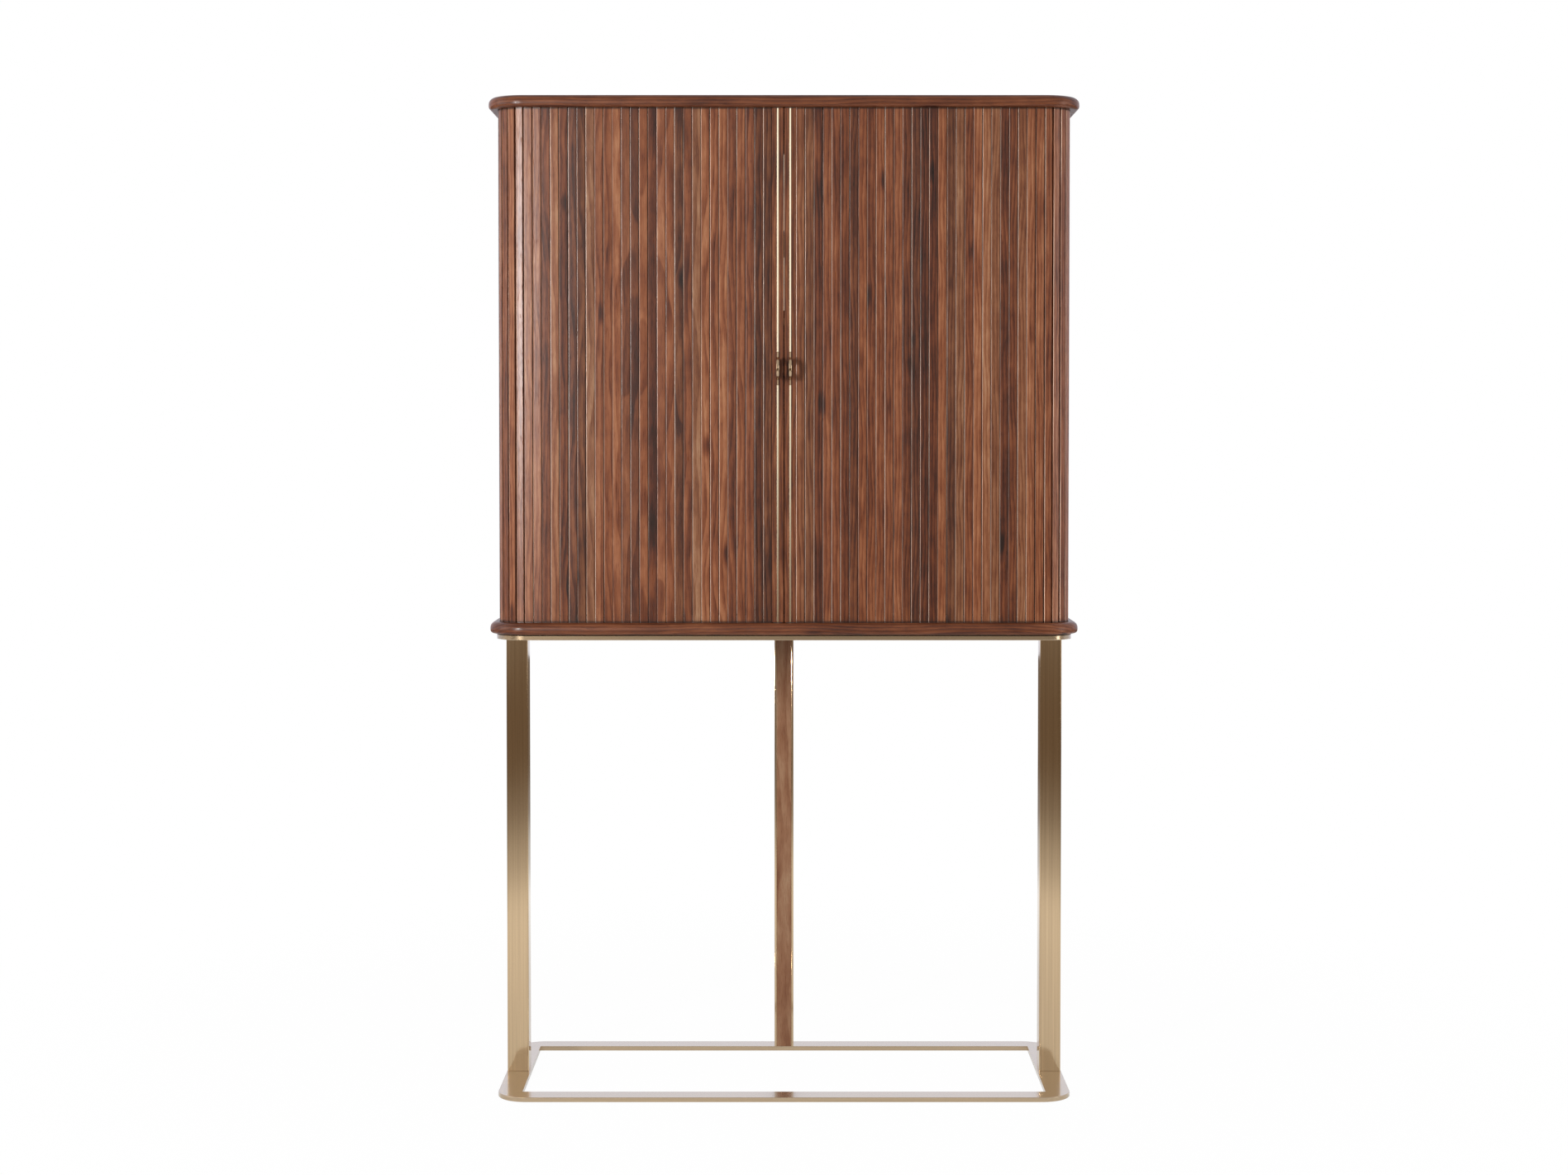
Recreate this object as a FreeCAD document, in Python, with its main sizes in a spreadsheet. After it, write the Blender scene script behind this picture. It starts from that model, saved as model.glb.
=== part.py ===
import FreeCAD, Part
import os
import Sketcher
from FreeCAD import Rotation, Vector

# Bar cabinet: a walnut case closed by two tambour curtains, carried on a brass frame.
# Millimetres. +Z is up and -Y is the front. The origin is on the floor, below the middle of the whole
# outline, pulls included, so the case's own middle lies case_centre_y behind it.

os.makedirs("parts", exist_ok=True)
doc = FreeCAD.newDocument("bar_cabinet")

# ---------------------------------------------------------------------------
# Driving dimensions
# ---------------------------------------------------------------------------
DIMENSIONS = {
    # overall
    "overall_width": 1000, "overall_depth": 450, "overall_height": 1700,
    # walnut slabs above and below the case
    "slab_thick": 20, "slab_round_top": 11, "slab_round_low": 6, "slab_edge_setback": 16,
    "groove_depth": 6, "groove_play": 0.8,
    # brass frame
    "frame_height": 792.5, "plate_thick": 8, "plate_inset": 11, "bar_width": 42, "plate_edge": 0.8,
    "leg_width": 37.5, "leg_depth": 44, "leg_wall": 3, "leg_inset": 1.3, "leg_edge": 2,
    "post_width": 34.5, "post_wall": 3.75, "post_back": 4, "inlay_play": 0.1,
    "plug_length": 30, "plug_play": 0.2, "gasket_thick": 1.5, "gasket_width": 24, "gasket_inset": 11,
    "screw_radius": 3, "screw_head_radius": 6, "screw_length": 26, "screw_play": 0.1,
    "screw_spacing": 22, "slab_screw_x": 330,
    # tambour curtain
    "body_corner": 46.4, "front_slats": 28, "fixed_slats": 2, "corner_slats": 5, "side_slats": 22,
    "slat_thick": 8, "slat_gap": 0.4, "slat_taper": 1.4, "slat_in_groove": 5, "canvas_thick": 0.8,
    "canvas_margin": 12, "slide_gap": 0.3,
    "stile_width": 19.5, "stile_thick": 16, "stile_end_gap": 1, "meeting_gap": 1.5,
    "strip_width": 2.8, "strip_thick": 3, "strip_proud": 0.4, "strip_play": 0.05,
    "guide_width": 15, "guide_depth": 6,
    "pull_height": 1242.5, "pull_ring_radius": 19, "pull_hole_radius": 10.2, "pull_ring_thick": 4.8,
    "pull_ring_edge": 0.8, "pull_bite": 1.5,
    "pull_plate_length": 57, "pull_plate_thick": 2,
    # inner case
    "panel_thick": 16, "curtain_room": 2.2, "back_outer_thick": 8, "back_lap": 1, "back_room": 1,
    "mirror_thick": 4, "mirror_margin": 12,
    "mid_shelf_top": 1168, "shelf_thick": 18, "mid_shelf_front": 5,
    "flap_depth": 180, "flap_side_gap": 7, "upper_shelf_top": 1480, "glass_thick": 8,
    "glass_side_gap": 1.5, "glass_front": 120, "divider_thick": 16, "lower_shelf_top": 990,
    "lower_shelf_gap": 1,
    "pin_radius": 3, "pin_length": 14, "pin_depth": 8, "pin_inset": 40,
    # flap hinges and stops
    "hinge_count": 3, "hinge_spacing": 340, "hinge_length": 60, "leaf_thick": 1.5, "leaf_width": 22,
    "knuckle_radius": 3.5, "knuckle_room": 0.5, "knuckle_gap": 0.3, "hinge_pin_radius": 1.6,
    "pin_bore_play": 0.05, "leaf_recess_play": 0.1,
    "catch_width": 14, "catch_depth": 15, "catch_length": 20, "stop_gap": 0.3,
    "rest_length": 70, "rest_leg": 18, "rest_thick": 3,
    "flap_knob_radius": 7, "flap_knob_length": 15, "flap_knob_inset": 20,
    # stemware rails
    "rail_count": 6, "rail_spacing": 98, "rail_web": 6, "rail_drop": 26, "rail_flange": 70,
    "rail_flange_thick": 3, "rail_length": 300,
}

# Sizes worked out from the driving dimensions.
DERIVED = {
    "slab_corner": "=body_corner + slab_edge_setback",
    "slab_base": "=frame_height + gasket_thick",
    "case_base": "=slab_base + slab_thick",
    "case_top": "=overall_height - slab_thick",
    "case_height": "=case_top - case_base",
    "half_width": "=overall_width / 2 - slab_edge_setback",
    "half_depth": "=overall_depth / 2 - slab_edge_setback",
    "plate_length": "=overall_width - 2 * plate_inset",
    "plate_breadth": "=overall_depth - 2 * plate_inset",
    "plate_corner": "=slab_corner - plate_inset",
    "leg_height": "=frame_height - 2 * plate_thick",
    "leg_centre": "=plate_length / 2 - leg_inset - leg_width / 2",
    "post_centre": "=plate_breadth / 2 - bar_width / 2",
    "inlay_width": "=post_width - 2 * post_wall - 2 * inlay_play",
    "inlay_depth": "=bar_width - post_back - inlay_play",
    "corner_centre_x": "=half_width - body_corner",
    "corner_centre_y": "=half_depth - body_corner",
    "stile_outer": "=meeting_gap / 2 + stile_width",
    "stile_centre": "=meeting_gap / 2 + stile_width / 2",
    "slat_pitch": "=(corner_centre_x - stile_outer) / front_slats",
    "moving_slats": "=front_slats - fixed_slats",
    "corner_step": "=90 / corner_slats",
    "side_pitch": "=2 * corner_centre_y / side_slats",
    "slat_face": "=slat_pitch - slat_gap",
    "slat_height": "=case_height + 2 * slat_in_groove",
    "fold_line": "=stile_outer + moving_slats * slat_pitch",
    "canvas_face": "=slat_thick + canvas_thick",
    "inner_half_width": "=half_width - canvas_face - curtain_room - panel_thick",
    "inner_back_face": "=half_depth - canvas_face - curtain_room - panel_thick",
    "mid_shelf_depth": "=inner_back_face + mid_shelf_front",
    "flap_length": "=2 * inner_half_width - 2 * flap_side_gap",
    "pull_reach": "=strip_proud + pull_plate_thick - pull_bite + 2 * pull_ring_radius",
    "case_centre_y": "=(pull_reach - slab_edge_setback) / 2",
}

sheet = doc.addObject("Spreadsheet::Sheet", "sizes")
for row, (alias, value) in enumerate({**DIMENSIONS, **DERIVED}.items(), start=1):
    sheet.set(f"A{row}", alias)
    sheet.set(f"B{row}", str(value))
    sheet.setAlias(f"B{row}", alias)
doc.recompute()

X_AXIS, Y_AXIS, Z_AXIS = Vector(1, 0, 0), Vector(0, 1, 0), Vector(0, 0, 1)
nodes = []


# ---------------------------------------------------------------------------
# Helpers: every size and place is an expression in the sheet's aliases
# ---------------------------------------------------------------------------
def value(alias):
    """The number that the sheet holds for an alias."""
    return float(getattr(sheet, alias))


def formula(text):
    """An expression in aliases, with the sheet's name put before each of them."""
    words, word = [], ""
    for letter in str(text) + " ":
        if letter.isalnum() or letter == "_":
            word += letter
            continue
        words.append(f"sizes.{word}" if word in DIMENSIONS or word in DERIVED else word)
        words.append(letter)
        word = ""
    return "".join(words).strip()


def bind(item, **properties):
    """Bind properties of a document object to expressions; a double underscore stands for a dot."""
    for name, text in properties.items():
        item.setExpression(name.replace("__", "."), formula(text))
    return item


def put(item, at):
    """Bind the place of an object, given from the case's own middle on the floor."""
    across, along, up = at
    return bind(item, Placement__Base__x=across, Placement__Base__y=f"case_centre_y + {along}",
                Placement__Base__z=up)


def node(item, label):
    """Name an object as one of the cabinet's sub-parts."""
    item.Label = label
    nodes.append(item)
    return item


def box(size, at):
    """A block whose lowest corner is at a point."""
    item = doc.addObject("Part::Box", "block")
    bind(item, Length=size[0], Width=size[1], Height=size[2])
    return put(item, at)


def cylinder(radius, length, at, axis=Z_AXIS):
    """A round bar that starts at a point and runs along an axis."""
    item = doc.addObject("Part::Cylinder", "bar")
    item.Placement.Rotation = Rotation(Z_AXIS, axis)
    bind(item, Radius=radius, Height=length)
    return put(item, at)


def cone(lower, upper, length, at):
    """An upright cone frustum that starts at a point."""
    item = doc.addObject("Part::Cone", "taper")
    bind(item, Radius1=lower, Radius2=upper, Height=length)
    return put(item, at)


def cut(base, *tools):
    """Base less the tools."""
    item = doc.addObject("Part::Cut", "cut")
    item.Base = base
    item.Tool = tools[0] if len(tools) == 1 else group(*tools)
    return item


def fuse(*parts):
    """One solid made of several that touch."""
    item = doc.addObject("Part::MultiFuse", "fuse")
    item.Shapes = list(parts)
    return item


def common(first, second):
    """What two solids share."""
    item = doc.addObject("Part::Common", "common")
    item.Base, item.Tool = first, second
    return item


def group(*parts):
    """Separate solids that are one sub-part."""
    item = doc.addObject("Part::Compound", "group")
    item.Links = list(parts)
    return item


def mirrored(source, normal):
    """The mirror image of a solid in an upright plane through the case's own middle."""
    item = doc.addObject("Part::Mirroring", "mirror")
    item.Source, item.Normal = source, normal
    return bind(item, Base__y="case_centre_y")


def pair(left, right, source):
    """A sub-part on the right and its mirror image on the left."""
    node(source, right)
    return node(mirrored(source, X_AXIS), left)


def new_body(name):
    """A body that may hold separate solids."""
    body = doc.addObject("PartDesign::Body", name)
    body.AllowCompound = True
    return body


def new_sketch(body, name, role="XY_Plane"):
    """A sketch on one of the body's origin planes."""
    plane = [item for item in body.Origin.OriginFeatures if item.Role == role][0]
    sketch = body.newObject("Sketcher::SketchObject", name)
    sketch.AttachmentSupport = [(plane, "")]
    sketch.MapMode = "FlatFace"
    return sketch


def polygon(sketch, points):
    """A closed outline whose corners are (across, up) pairs of expressions from the sketch's origin."""
    first, count = sketch.GeometryCount, len(points)
    rough = [Vector(*[float(sheet_value(text)) for text in point], 0) for point in points]
    for step in range(count):
        sketch.addGeometry(Part.LineSegment(rough[step], rough[(step + 1) % count]))
    for step in range(count):
        sketch.addConstraint(Sketcher.Constraint("Coincident", first + step, 2, first + (step + 1) % count, 1))
    for step, point in enumerate(points):
        for kind, text in zip(("DistanceX", "DistanceY"), point):
            index = sketch.addConstraint(
                Sketcher.Constraint(kind, -1, 1, first + step, 1, float(sheet_value(text))))
            name = f"{kind}_{first + step}"
            sketch.renameConstraint(index, name)
            sketch.setExpression(f"Constraints.{name}", formula(text))
    return sketch


def sheet_value(text):
    """The number that an expression in aliases stands for now."""
    return doc.getObject("sizes").evalExpression(formula(text))


def centred_rectangle(sketch, width, height):
    """A rectangle about the sketch's origin."""
    first = sketch.GeometryCount
    half_x, half_y = 10.0 + first, 8.0 + first
    corners = [Vector(-half_x, -half_y, 0), Vector(half_x, -half_y, 0),
               Vector(half_x, half_y, 0), Vector(-half_x, half_y, 0)]
    for step in range(4):
        sketch.addGeometry(Part.LineSegment(corners[step], corners[(step + 1) % 4]))
    for step in range(4):
        sketch.addConstraint(Sketcher.Constraint("Coincident", first + step, 2, first + (step + 1) % 4, 1))
        kind = "Horizontal" if step % 2 == 0 else "Vertical"
        sketch.addConstraint(Sketcher.Constraint(kind, first + step))
    sketch.addConstraint(Sketcher.Constraint("Symmetric", first, 1, first + 2, 1, -1, 1))
    for edge, text, kind in ((0, width, "DistanceX"), (1, height, "DistanceY")):
        index = sketch.addConstraint(Sketcher.Constraint(kind, first + edge, 1, first + edge, 2, 20.0))
        sketch.renameConstraint(index, f"size_{first + edge}")
        sketch.setExpression(f"Constraints.size_{first + edge}", formula(text))
    return sketch


def pad(body, sketch, length):
    """Pad a sketch upward from its plane."""
    feature = body.newObject("PartDesign::Pad", "pad")
    feature.Profile = sketch
    bind(feature, Length=length)
    doc.recompute()
    return feature


def ease(body, feature, kind, size, chosen):
    """Round or chamfer the edges of a feature that a test chooses."""
    names = [f"Edge{place}" for place, edge in enumerate(feature.Shape.Edges, 1) if chosen(edge)]
    dress = body.newObject(f"PartDesign::{kind}", kind.lower())
    dress.Base = (feature, names)
    bind(dress, **{"Radius" if kind == "Fillet" else "Size": size})
    doc.recompute()
    return dress


def upright(edge):
    """Whether an edge runs along Z."""
    box_of = edge.BoundBox
    return box_of.XLength < 1e-6 and box_of.YLength < 1e-6


def level_at(height):
    """A test for level edges at a height."""
    return lambda edge: abs(edge.BoundBox.ZMin - height) < 1e-6 and abs(edge.BoundBox.ZMax - height) < 1e-6


def rounded_block(name, length, breadth, height, radius, base):
    """An upright block with rounded vertical corners, centred on the vertical axis."""
    body = new_body(name)
    sketch = centred_rectangle(new_sketch(body, f"{name}_outline"), length, breadth)
    ease(body, pad(body, sketch, height), "Fillet", radius, upright)
    return put(body, ("0", "0", base))


def rounded_ring(name, inset, thick, height, base):
    """A band that follows the tambour's path, its outer face a given distance inside the slats' faces."""
    outer = rounded_block(f"{name}_outer", f"2 * (half_width - ({inset}))", f"2 * (half_depth - ({inset}))",
                          height, f"body_corner - ({inset})", base)
    inner = rounded_block(f"{name}_inner", f"2 * (half_width - ({inset}) - ({thick}))",
                          f"2 * (half_depth - ({inset}) - ({thick}))",
                          height, f"body_corner - ({inset}) - ({thick})", base)
    return cut(outer, inner)


# ---------------------------------------------------------------------------
# Brass frame
# ---------------------------------------------------------------------------
LEG_SCREWS = [(f"{side} * leg_centre", f"{way} * screw_spacing / 2") for side in (-1, 1) for way in (-1, 1)]
POST_SCREWS = [("0", f"post_centre + {way} * screw_spacing / 2") for way in (-1, 1)]
SLAB_SCREWS = [(f"{side} * slab_screw_x", f"{way} * post_centre") for side in (-1, 1) for way in (-1, 1)]


def countersunk(points, face, way, play="0"):
    """Countersunk screws, or their holes: heads flush with a level face, shanks up (1) or down (-1)."""
    head, shank = f"screw_head_radius + {play}", f"screw_radius + {play}"
    rise = "screw_head_radius - screw_radius"
    screws = []
    for across, along in points:
        if way > 0:
            taper = cone(head, shank, rise, (across, along, face))
            bar = cylinder(shank, f"screw_length + {play}", (across, along, face))
        else:
            taper = cone(shank, head, rise, (across, along, f"{face} - ({rise})"))
            bar = cylinder(shank, f"screw_length + {play}", (across, along, f"{face} - screw_length - {play}"))
        screws.append(fuse(taper, bar))
    return screws


def ring_plate(name, base):
    """A flat rectangular ring with rounded outer corners and square inner ones."""
    body = new_body(name)
    sketch = new_sketch(body, f"{name}_outline")
    centred_rectangle(sketch, "plate_length", "plate_breadth")
    centred_rectangle(sketch, "plate_length - 2 * bar_width", "plate_breadth - 2 * bar_width")
    plate = pad(body, sketch, "plate_thick")
    reach = value("plate_length") / 2 - value("bar_width") / 2
    rounded = ease(body, plate, "Fillet", "plate_corner",
                   lambda edge: upright(edge) and abs(edge.BoundBox.XMin) > reach)
    inner_y = value("plate_breadth") / 2 - value("bar_width")

    def on_rim(edge):
        ends = edge.BoundBox
        far = max(abs(ends.XMin), abs(ends.XMax)) > reach or max(abs(ends.YMin), abs(ends.YMax)) > inner_y + 1
        return far and any(abs(ends.ZMin - z) + abs(ends.ZMax - z) < 1e-6 for z in (0, value("plate_thick")))
    ease(body, rounded, "Chamfer", "plate_edge", on_rim)
    return put(body, ("0", "0", base))


FRAME_TOP = "frame_height"
TOP_PLATE_BASE = "frame_height - plate_thick"
base_holes = countersunk(LEG_SCREWS + POST_SCREWS, "0", 1, "screw_play")
top_holes = countersunk(LEG_SCREWS + POST_SCREWS, FRAME_TOP, -1, "screw_play")
slab_holes = countersunk(SLAB_SCREWS, TOP_PLATE_BASE, 1, "screw_play")

node(cut(ring_plate("base_ring", "0"), *base_holes), "base_frame")
node(cut(ring_plate("top_ring", TOP_PLATE_BASE), *top_holes, *slab_holes), "top_frame")


def leg_tube():
    """A rectangular tube that stands between the two ring plates."""
    body = new_body("leg_tube")
    sketch = new_sketch(body, "leg_section")
    centred_rectangle(sketch, "leg_width", "leg_depth")
    centred_rectangle(sketch, "leg_width - 2 * leg_wall", "leg_depth - 2 * leg_wall")
    tube = pad(body, sketch, "leg_height")
    reach = value("leg_width") / 2 - 0.1
    ease(body, tube, "Fillet", "leg_edge", lambda edge: upright(edge) and abs(edge.BoundBox.XMin) > reach)
    return put(body, ("leg_centre", "0", "plate_thick"))


def leg_plugs():
    """A threaded plug in each end of each leg, which the frame screws hold."""
    wide, deep = ("leg_width - 2 * (leg_wall + plug_play)", "leg_depth - 2 * (leg_wall + plug_play)")
    plugs = []
    for side in (-1, 1):
        for base, holes in (("plate_thick", base_holes), (f"{TOP_PLATE_BASE} - plug_length", top_holes)):
            corner = (f"{side} * leg_centre - ({wide}) / 2", f"-({deep}) / 2", base)
            near = holes[:2] if side < 0 else holes[2:4]
            plugs.append(cut(box((wide, deep, "plug_length"), corner), *near))
    return group(*plugs)


pair("left_leg", "right_leg", leg_tube())
node(leg_plugs(), "leg_plugs")

post_corner = ("-post_width / 2", "post_centre - bar_width / 2", "plate_thick")
channel = box(("post_width", "bar_width", "leg_height"), post_corner)
channel_slot = box(("post_width - 2 * post_wall", "bar_width - post_back", "leg_height"),
                   ("-post_width / 2 + post_wall", "post_centre - bar_width / 2", "plate_thick"))
node(cut(channel, channel_slot), "rear_post_channel")
inlay = box(("inlay_width", "inlay_depth", "leg_height"),
            ("-inlay_width / 2", "post_centre - bar_width / 2", "plate_thick"))
node(cut(inlay, *base_holes[4:], *top_holes[4:]), "rear_post_inlay")

base_screws = countersunk(LEG_SCREWS + POST_SCREWS, "0", 1)
top_screws = countersunk(LEG_SCREWS + POST_SCREWS, FRAME_TOP, -1)
node(group(*base_screws, *top_screws), "frame_screws")
node(group(*countersunk(SLAB_SCREWS, TOP_PLATE_BASE, 1)), "slab_screws")


def gasket():
    """A dark strip that keeps the bottom slab off the top plate and makes the shadow line."""
    sizes = ("plate_length - 2 * gasket_inset", "plate_breadth - 2 * gasket_inset")
    outer = rounded_block("gasket_outer", *sizes, "gasket_thick", "plate_corner - gasket_inset", FRAME_TOP)
    inner = box(tuple(f"{size} - 2 * gasket_width" for size in sizes) + ("gasket_thick",),
                tuple(f"-({size}) / 2 + gasket_width" for size in sizes) + (FRAME_TOP,))
    return cut(outer, inner, *slab_holes)


node(gasket(), "slab_gasket")


# ---------------------------------------------------------------------------
# Walnut slabs
# ---------------------------------------------------------------------------
def slab(name, base):
    """A slab with rounded plan corners and a rounded nosing all round."""
    body = new_body(name)
    sketch = centred_rectangle(new_sketch(body, f"{name}_outline"), "overall_width", "overall_depth")
    plain = pad(body, sketch, "slab_thick")
    corners = ease(body, plain, "Fillet", "slab_corner", upright)
    nosing = ease(body, corners, "Fillet", "slab_round_top", level_at(value("slab_thick")))
    ease(body, nosing, "Fillet", "slab_round_low", level_at(0))
    return put(body, ("0", "0", base))


def groove(name, base):
    """The guide groove that the slats' ends run in."""
    return rounded_ring(name, "-groove_play", "slat_thick + 2 * groove_play", "groove_depth", base)


node(cut(slab("lower_slab", "slab_base"), groove("lower_groove", "case_base - groove_depth"),
         *slab_holes), "bottom_slab")
node(cut(slab("upper_slab", "case_top"), groove("upper_groove", "case_top")), "top_slab")


# ---------------------------------------------------------------------------
# Tambour curtains
# ---------------------------------------------------------------------------
SLAT_BASE = "case_base - slat_in_groove"


def slat_outline(body, face, back, distance):
    """One slat's section: a wide face away from the origin's axis and a narrower back."""
    front = f"-({distance})"
    return polygon(new_sketch(body, f"{body.Name}_section"), [
        (f"-({face}) / 2", front), (f"({face}) / 2", front),
        (f"({back}) / 2", f"{front} + slat_thick"), (f"-({back}) / 2", f"{front} + slat_thick")])


def origin_axis(body, role):
    """One of a body's own axes, for a pattern."""
    return ([item for item in body.Origin.OriginFeatures if item.Role == role][0], [""])


def slat_row(name, pitch, count, distance):
    """Slats side by side along the body's X axis."""
    body = new_body(name)
    face = f"{pitch} - slat_gap"
    first = pad(body, slat_outline(body, face, f"{face} - 2 * slat_taper", distance), "slat_height")
    row = body.newObject("PartDesign::LinearPattern", "row")
    row.Originals = [first]
    row.Direction = origin_axis(body, "X_Axis")
    bind(row, Length=f"({pitch}) * ({count} - 1)", Occurrences=count)
    body.Tip = row
    return body


def slat_fan(name):
    """Slats round a quarter turn of the body's Z axis."""
    body = new_body(name)
    half_step = "tan(corner_step / 2)"
    first = pad(body, slat_outline(body, f"2 * body_corner * {half_step} - slat_gap",
                                   f"2 * (body_corner - slat_thick) * {half_step} - slat_gap",
                                   "body_corner"), "slat_height")
    fan = body.newObject("PartDesign::PolarPattern", "fan")
    fan.Originals = [first]
    fan.Axis = origin_axis(body, "Z_Axis")
    bind(fan, Angle="corner_step * (corner_slats - 1)", Occurrences="corner_slats")
    body.Tip = fan
    body.Placement.Rotation = Rotation(Z_AXIS, value("corner_step") / 2)
    bind(body, Placement__Rotation__Angle="corner_step / 2")
    return put(body, ("corner_centre_x", "-corner_centre_y", SLAT_BASE))


door_slats = slat_row("door_row", "slat_pitch", "moving_slats", "half_depth")
put(door_slats, ("stile_outer + slat_pitch / 2", "0", SLAT_BASE))
pair("left_door_slats", "right_door_slats", door_slats)

entry_slats = slat_row("entry_row", "slat_pitch", "fixed_slats", "half_depth")
put(entry_slats, ("fold_line + slat_pitch / 2", "0", SLAT_BASE))
front_corner = group(entry_slats, slat_fan("corner_fan"))
pair("left_front_corner_slats", "right_front_corner_slats", front_corner)
pair("left_rear_corner_slats", "right_rear_corner_slats", mirrored(front_corner, Y_AXIS))

side_slats = slat_row("side_row", "side_pitch", "side_slats", "half_width")
side_slats.Placement.Rotation = Rotation(Z_AXIS, 90)
put(side_slats, ("0", "-corner_centre_y + side_pitch / 2", SLAT_BASE))
pair("left_side_slats", "right_side_slats", side_slats)

CANVAS_BASE, CANVAS_HEIGHT = "case_base + canvas_margin", "case_height - 2 * canvas_margin"
canvas_ring = rounded_ring("canvas", "slat_thick", "canvas_thick", CANVAS_HEIGHT, CANVAS_BASE)
wrap_region = box(("overall_width / 2 - fold_line", "overall_depth", "overall_height"),
                  ("fold_line", "-overall_depth / 2", "0"))
pair("left_wrap_canvas", "right_wrap_canvas", common(canvas_ring, wrap_region))
door_canvas = box(("fold_line - stile_outer", "canvas_thick", CANVAS_HEIGHT),
                  ("stile_outer", "-half_depth + slat_thick", CANVAS_BASE))
pair("left_door_canvas", "right_door_canvas", door_canvas)


# ---------------------------------------------------------------------------
# Leading stiles with their pulls
# ---------------------------------------------------------------------------
STILE_BASE, STILE_HEIGHT = "case_base + stile_end_gap", "case_height - 2 * stile_end_gap"
STRIP_SIDE = "stile_centre - strip_width / 2"
GUIDE_REACH = "slat_in_groove + stile_end_gap + guide_depth"


def guides():
    """Tongues let into the two ends of a stile, which run in the slabs' grooves."""
    size = ("guide_width", "slat_thick - strip_thick - groove_play", GUIDE_REACH)
    corner = ("stile_centre - guide_width / 2", "-half_depth + strip_thick")
    return group(box(size, corner + (SLAT_BASE,)),
                 box(size, corner + (f"case_top + slat_in_groove - ({GUIDE_REACH})",)))


def stile():
    """The leading stile, grooved for its brass strip and mortised for its guides."""
    blank = box(("stile_width", "stile_thick", STILE_HEIGHT), ("meeting_gap / 2", "-half_depth", STILE_BASE))
    slot = box(("strip_width + 2 * strip_play", "strip_thick - strip_proud", STILE_HEIGHT),
               (f"{STRIP_SIDE} - strip_play", "-half_depth", STILE_BASE))
    return cut(blank, slot, guides())


def flat_ring(name, outer, inner, thick, edge, centre):
    """A flat ring with bevelled rims that stands across the X axis, about a point."""
    body = new_body(name)
    sketch = new_sketch(body, f"{name}_outline", "YZ_Plane")
    for place, (rim, radius) in enumerate((("outer", outer), ("inner", inner))):
        sketch.addGeometry(Part.Circle(Vector(0, 0, 0), Z_AXIS, float(sheet_value(radius))))
        sketch.addConstraint(Sketcher.Constraint("Coincident", place, 3, -1, 1))
        index = sketch.addConstraint(Sketcher.Constraint("Radius", place, float(sheet_value(radius))))
        sketch.renameConstraint(index, rim)
        sketch.setExpression(f"Constraints.{rim}", formula(radius))
    ease(body, pad(body, sketch, thick), "Chamfer", edge, lambda rim: rim.BoundBox.XLength < 1e-6)
    return put(body, (f"{centre[0]} - {thick} / 2",) + centre[1:])


def pull():
    """A ring that stands edge-on to the front, on a narrow plate."""
    plate_face = "-half_depth - strip_proud - pull_plate_thick"
    plate = box(("strip_width", "pull_plate_thick", "pull_plate_length"),
                (STRIP_SIDE, plate_face, "pull_height - pull_plate_length / 2"))
    ring = flat_ring("pull_ring", "pull_ring_radius", "pull_hole_radius", "pull_ring_thick", "pull_ring_edge",
                     ("stile_centre", f"{plate_face} + pull_bite - pull_ring_radius", "pull_height"))
    return fuse(plate, ring)


pair("left_stile", "right_stile", stile())
pair("left_stile_guides", "right_stile_guides", guides())
strip = box(("strip_width", "strip_thick", STILE_HEIGHT), (STRIP_SIDE, "-half_depth - strip_proud", STILE_BASE))
pair("left_brass_strip", "right_brass_strip", strip)
pair("left_pull", "right_pull", pull())


# ---------------------------------------------------------------------------
# Inner case
# ---------------------------------------------------------------------------
LINER_INSET = "canvas_face + curtain_room"


def liner(size, corner):
    """A panel of the inner case, rounded where it passes the curtain's corners."""
    block = rounded_block("liner", f"2 * (half_width - ({LINER_INSET}))", f"2 * (half_depth - ({LINER_INSET}))",
                          "case_height", f"body_corner - ({LINER_INSET})", "case_base")
    return common(block, box(size, corner))


def shelf_pins(shelf_base, sides, rows):
    """Pins that stand out of upright faces; each side is (face, way that the pin points, depth let in)."""
    pins = []
    for face, way in sides:
        start = f"{face} - pin_depth" if way > 0 else f"{face} + pin_depth - pin_length"
        for row in rows:
            pins.append(cylinder("pin_radius", "pin_length", (start, row, f"{shelf_base} - pin_radius"), X_AXIS))
    return pins


GLASS_BASE = "upper_shelf_top - glass_thick"
GLASS_BACK = "inner_back_face - mirror_thick - glass_side_gap"
LOWER_BASE = "lower_shelf_top - shelf_thick"
upper_rows = ("-glass_front + pin_inset", f"{GLASS_BACK} - pin_inset")
lower_rows = ("-mid_shelf_front + pin_inset", "inner_back_face - pin_inset")
upper_pins = shelf_pins(GLASS_BASE, (("inner_half_width", -1), ("-inner_half_width", 1)), upper_rows)
lower_pins = shelf_pins(LOWER_BASE, (("inner_half_width", -1), ("divider_thick / 2", 1)), lower_rows)

side_size = ("panel_thick", "inner_back_face + corner_centre_y", "case_height")
right_side = liner(side_size, ("inner_half_width", "-corner_centre_y", "case_base"))
left_side = liner(side_size, ("-inner_half_width - panel_thick", "-corner_centre_y", "case_base"))
node(cut(left_side, *upper_pins[2:]), "left_inner_side")
node(cut(right_side, *upper_pins[:2], *lower_pins[:2]), "right_inner_side")
inner_back = liner(("2 * half_width", "panel_thick", "case_height"),
                   ("-half_width", "inner_back_face", "case_base"))
node(inner_back, "inner_back")
outer_back = box(("2 * (corner_centre_x - back_lap)", "back_outer_thick", "case_height"),
                 ("-corner_centre_x + back_lap", "half_depth + back_room", "case_base"))
node(outer_back, "outer_back")

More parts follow.
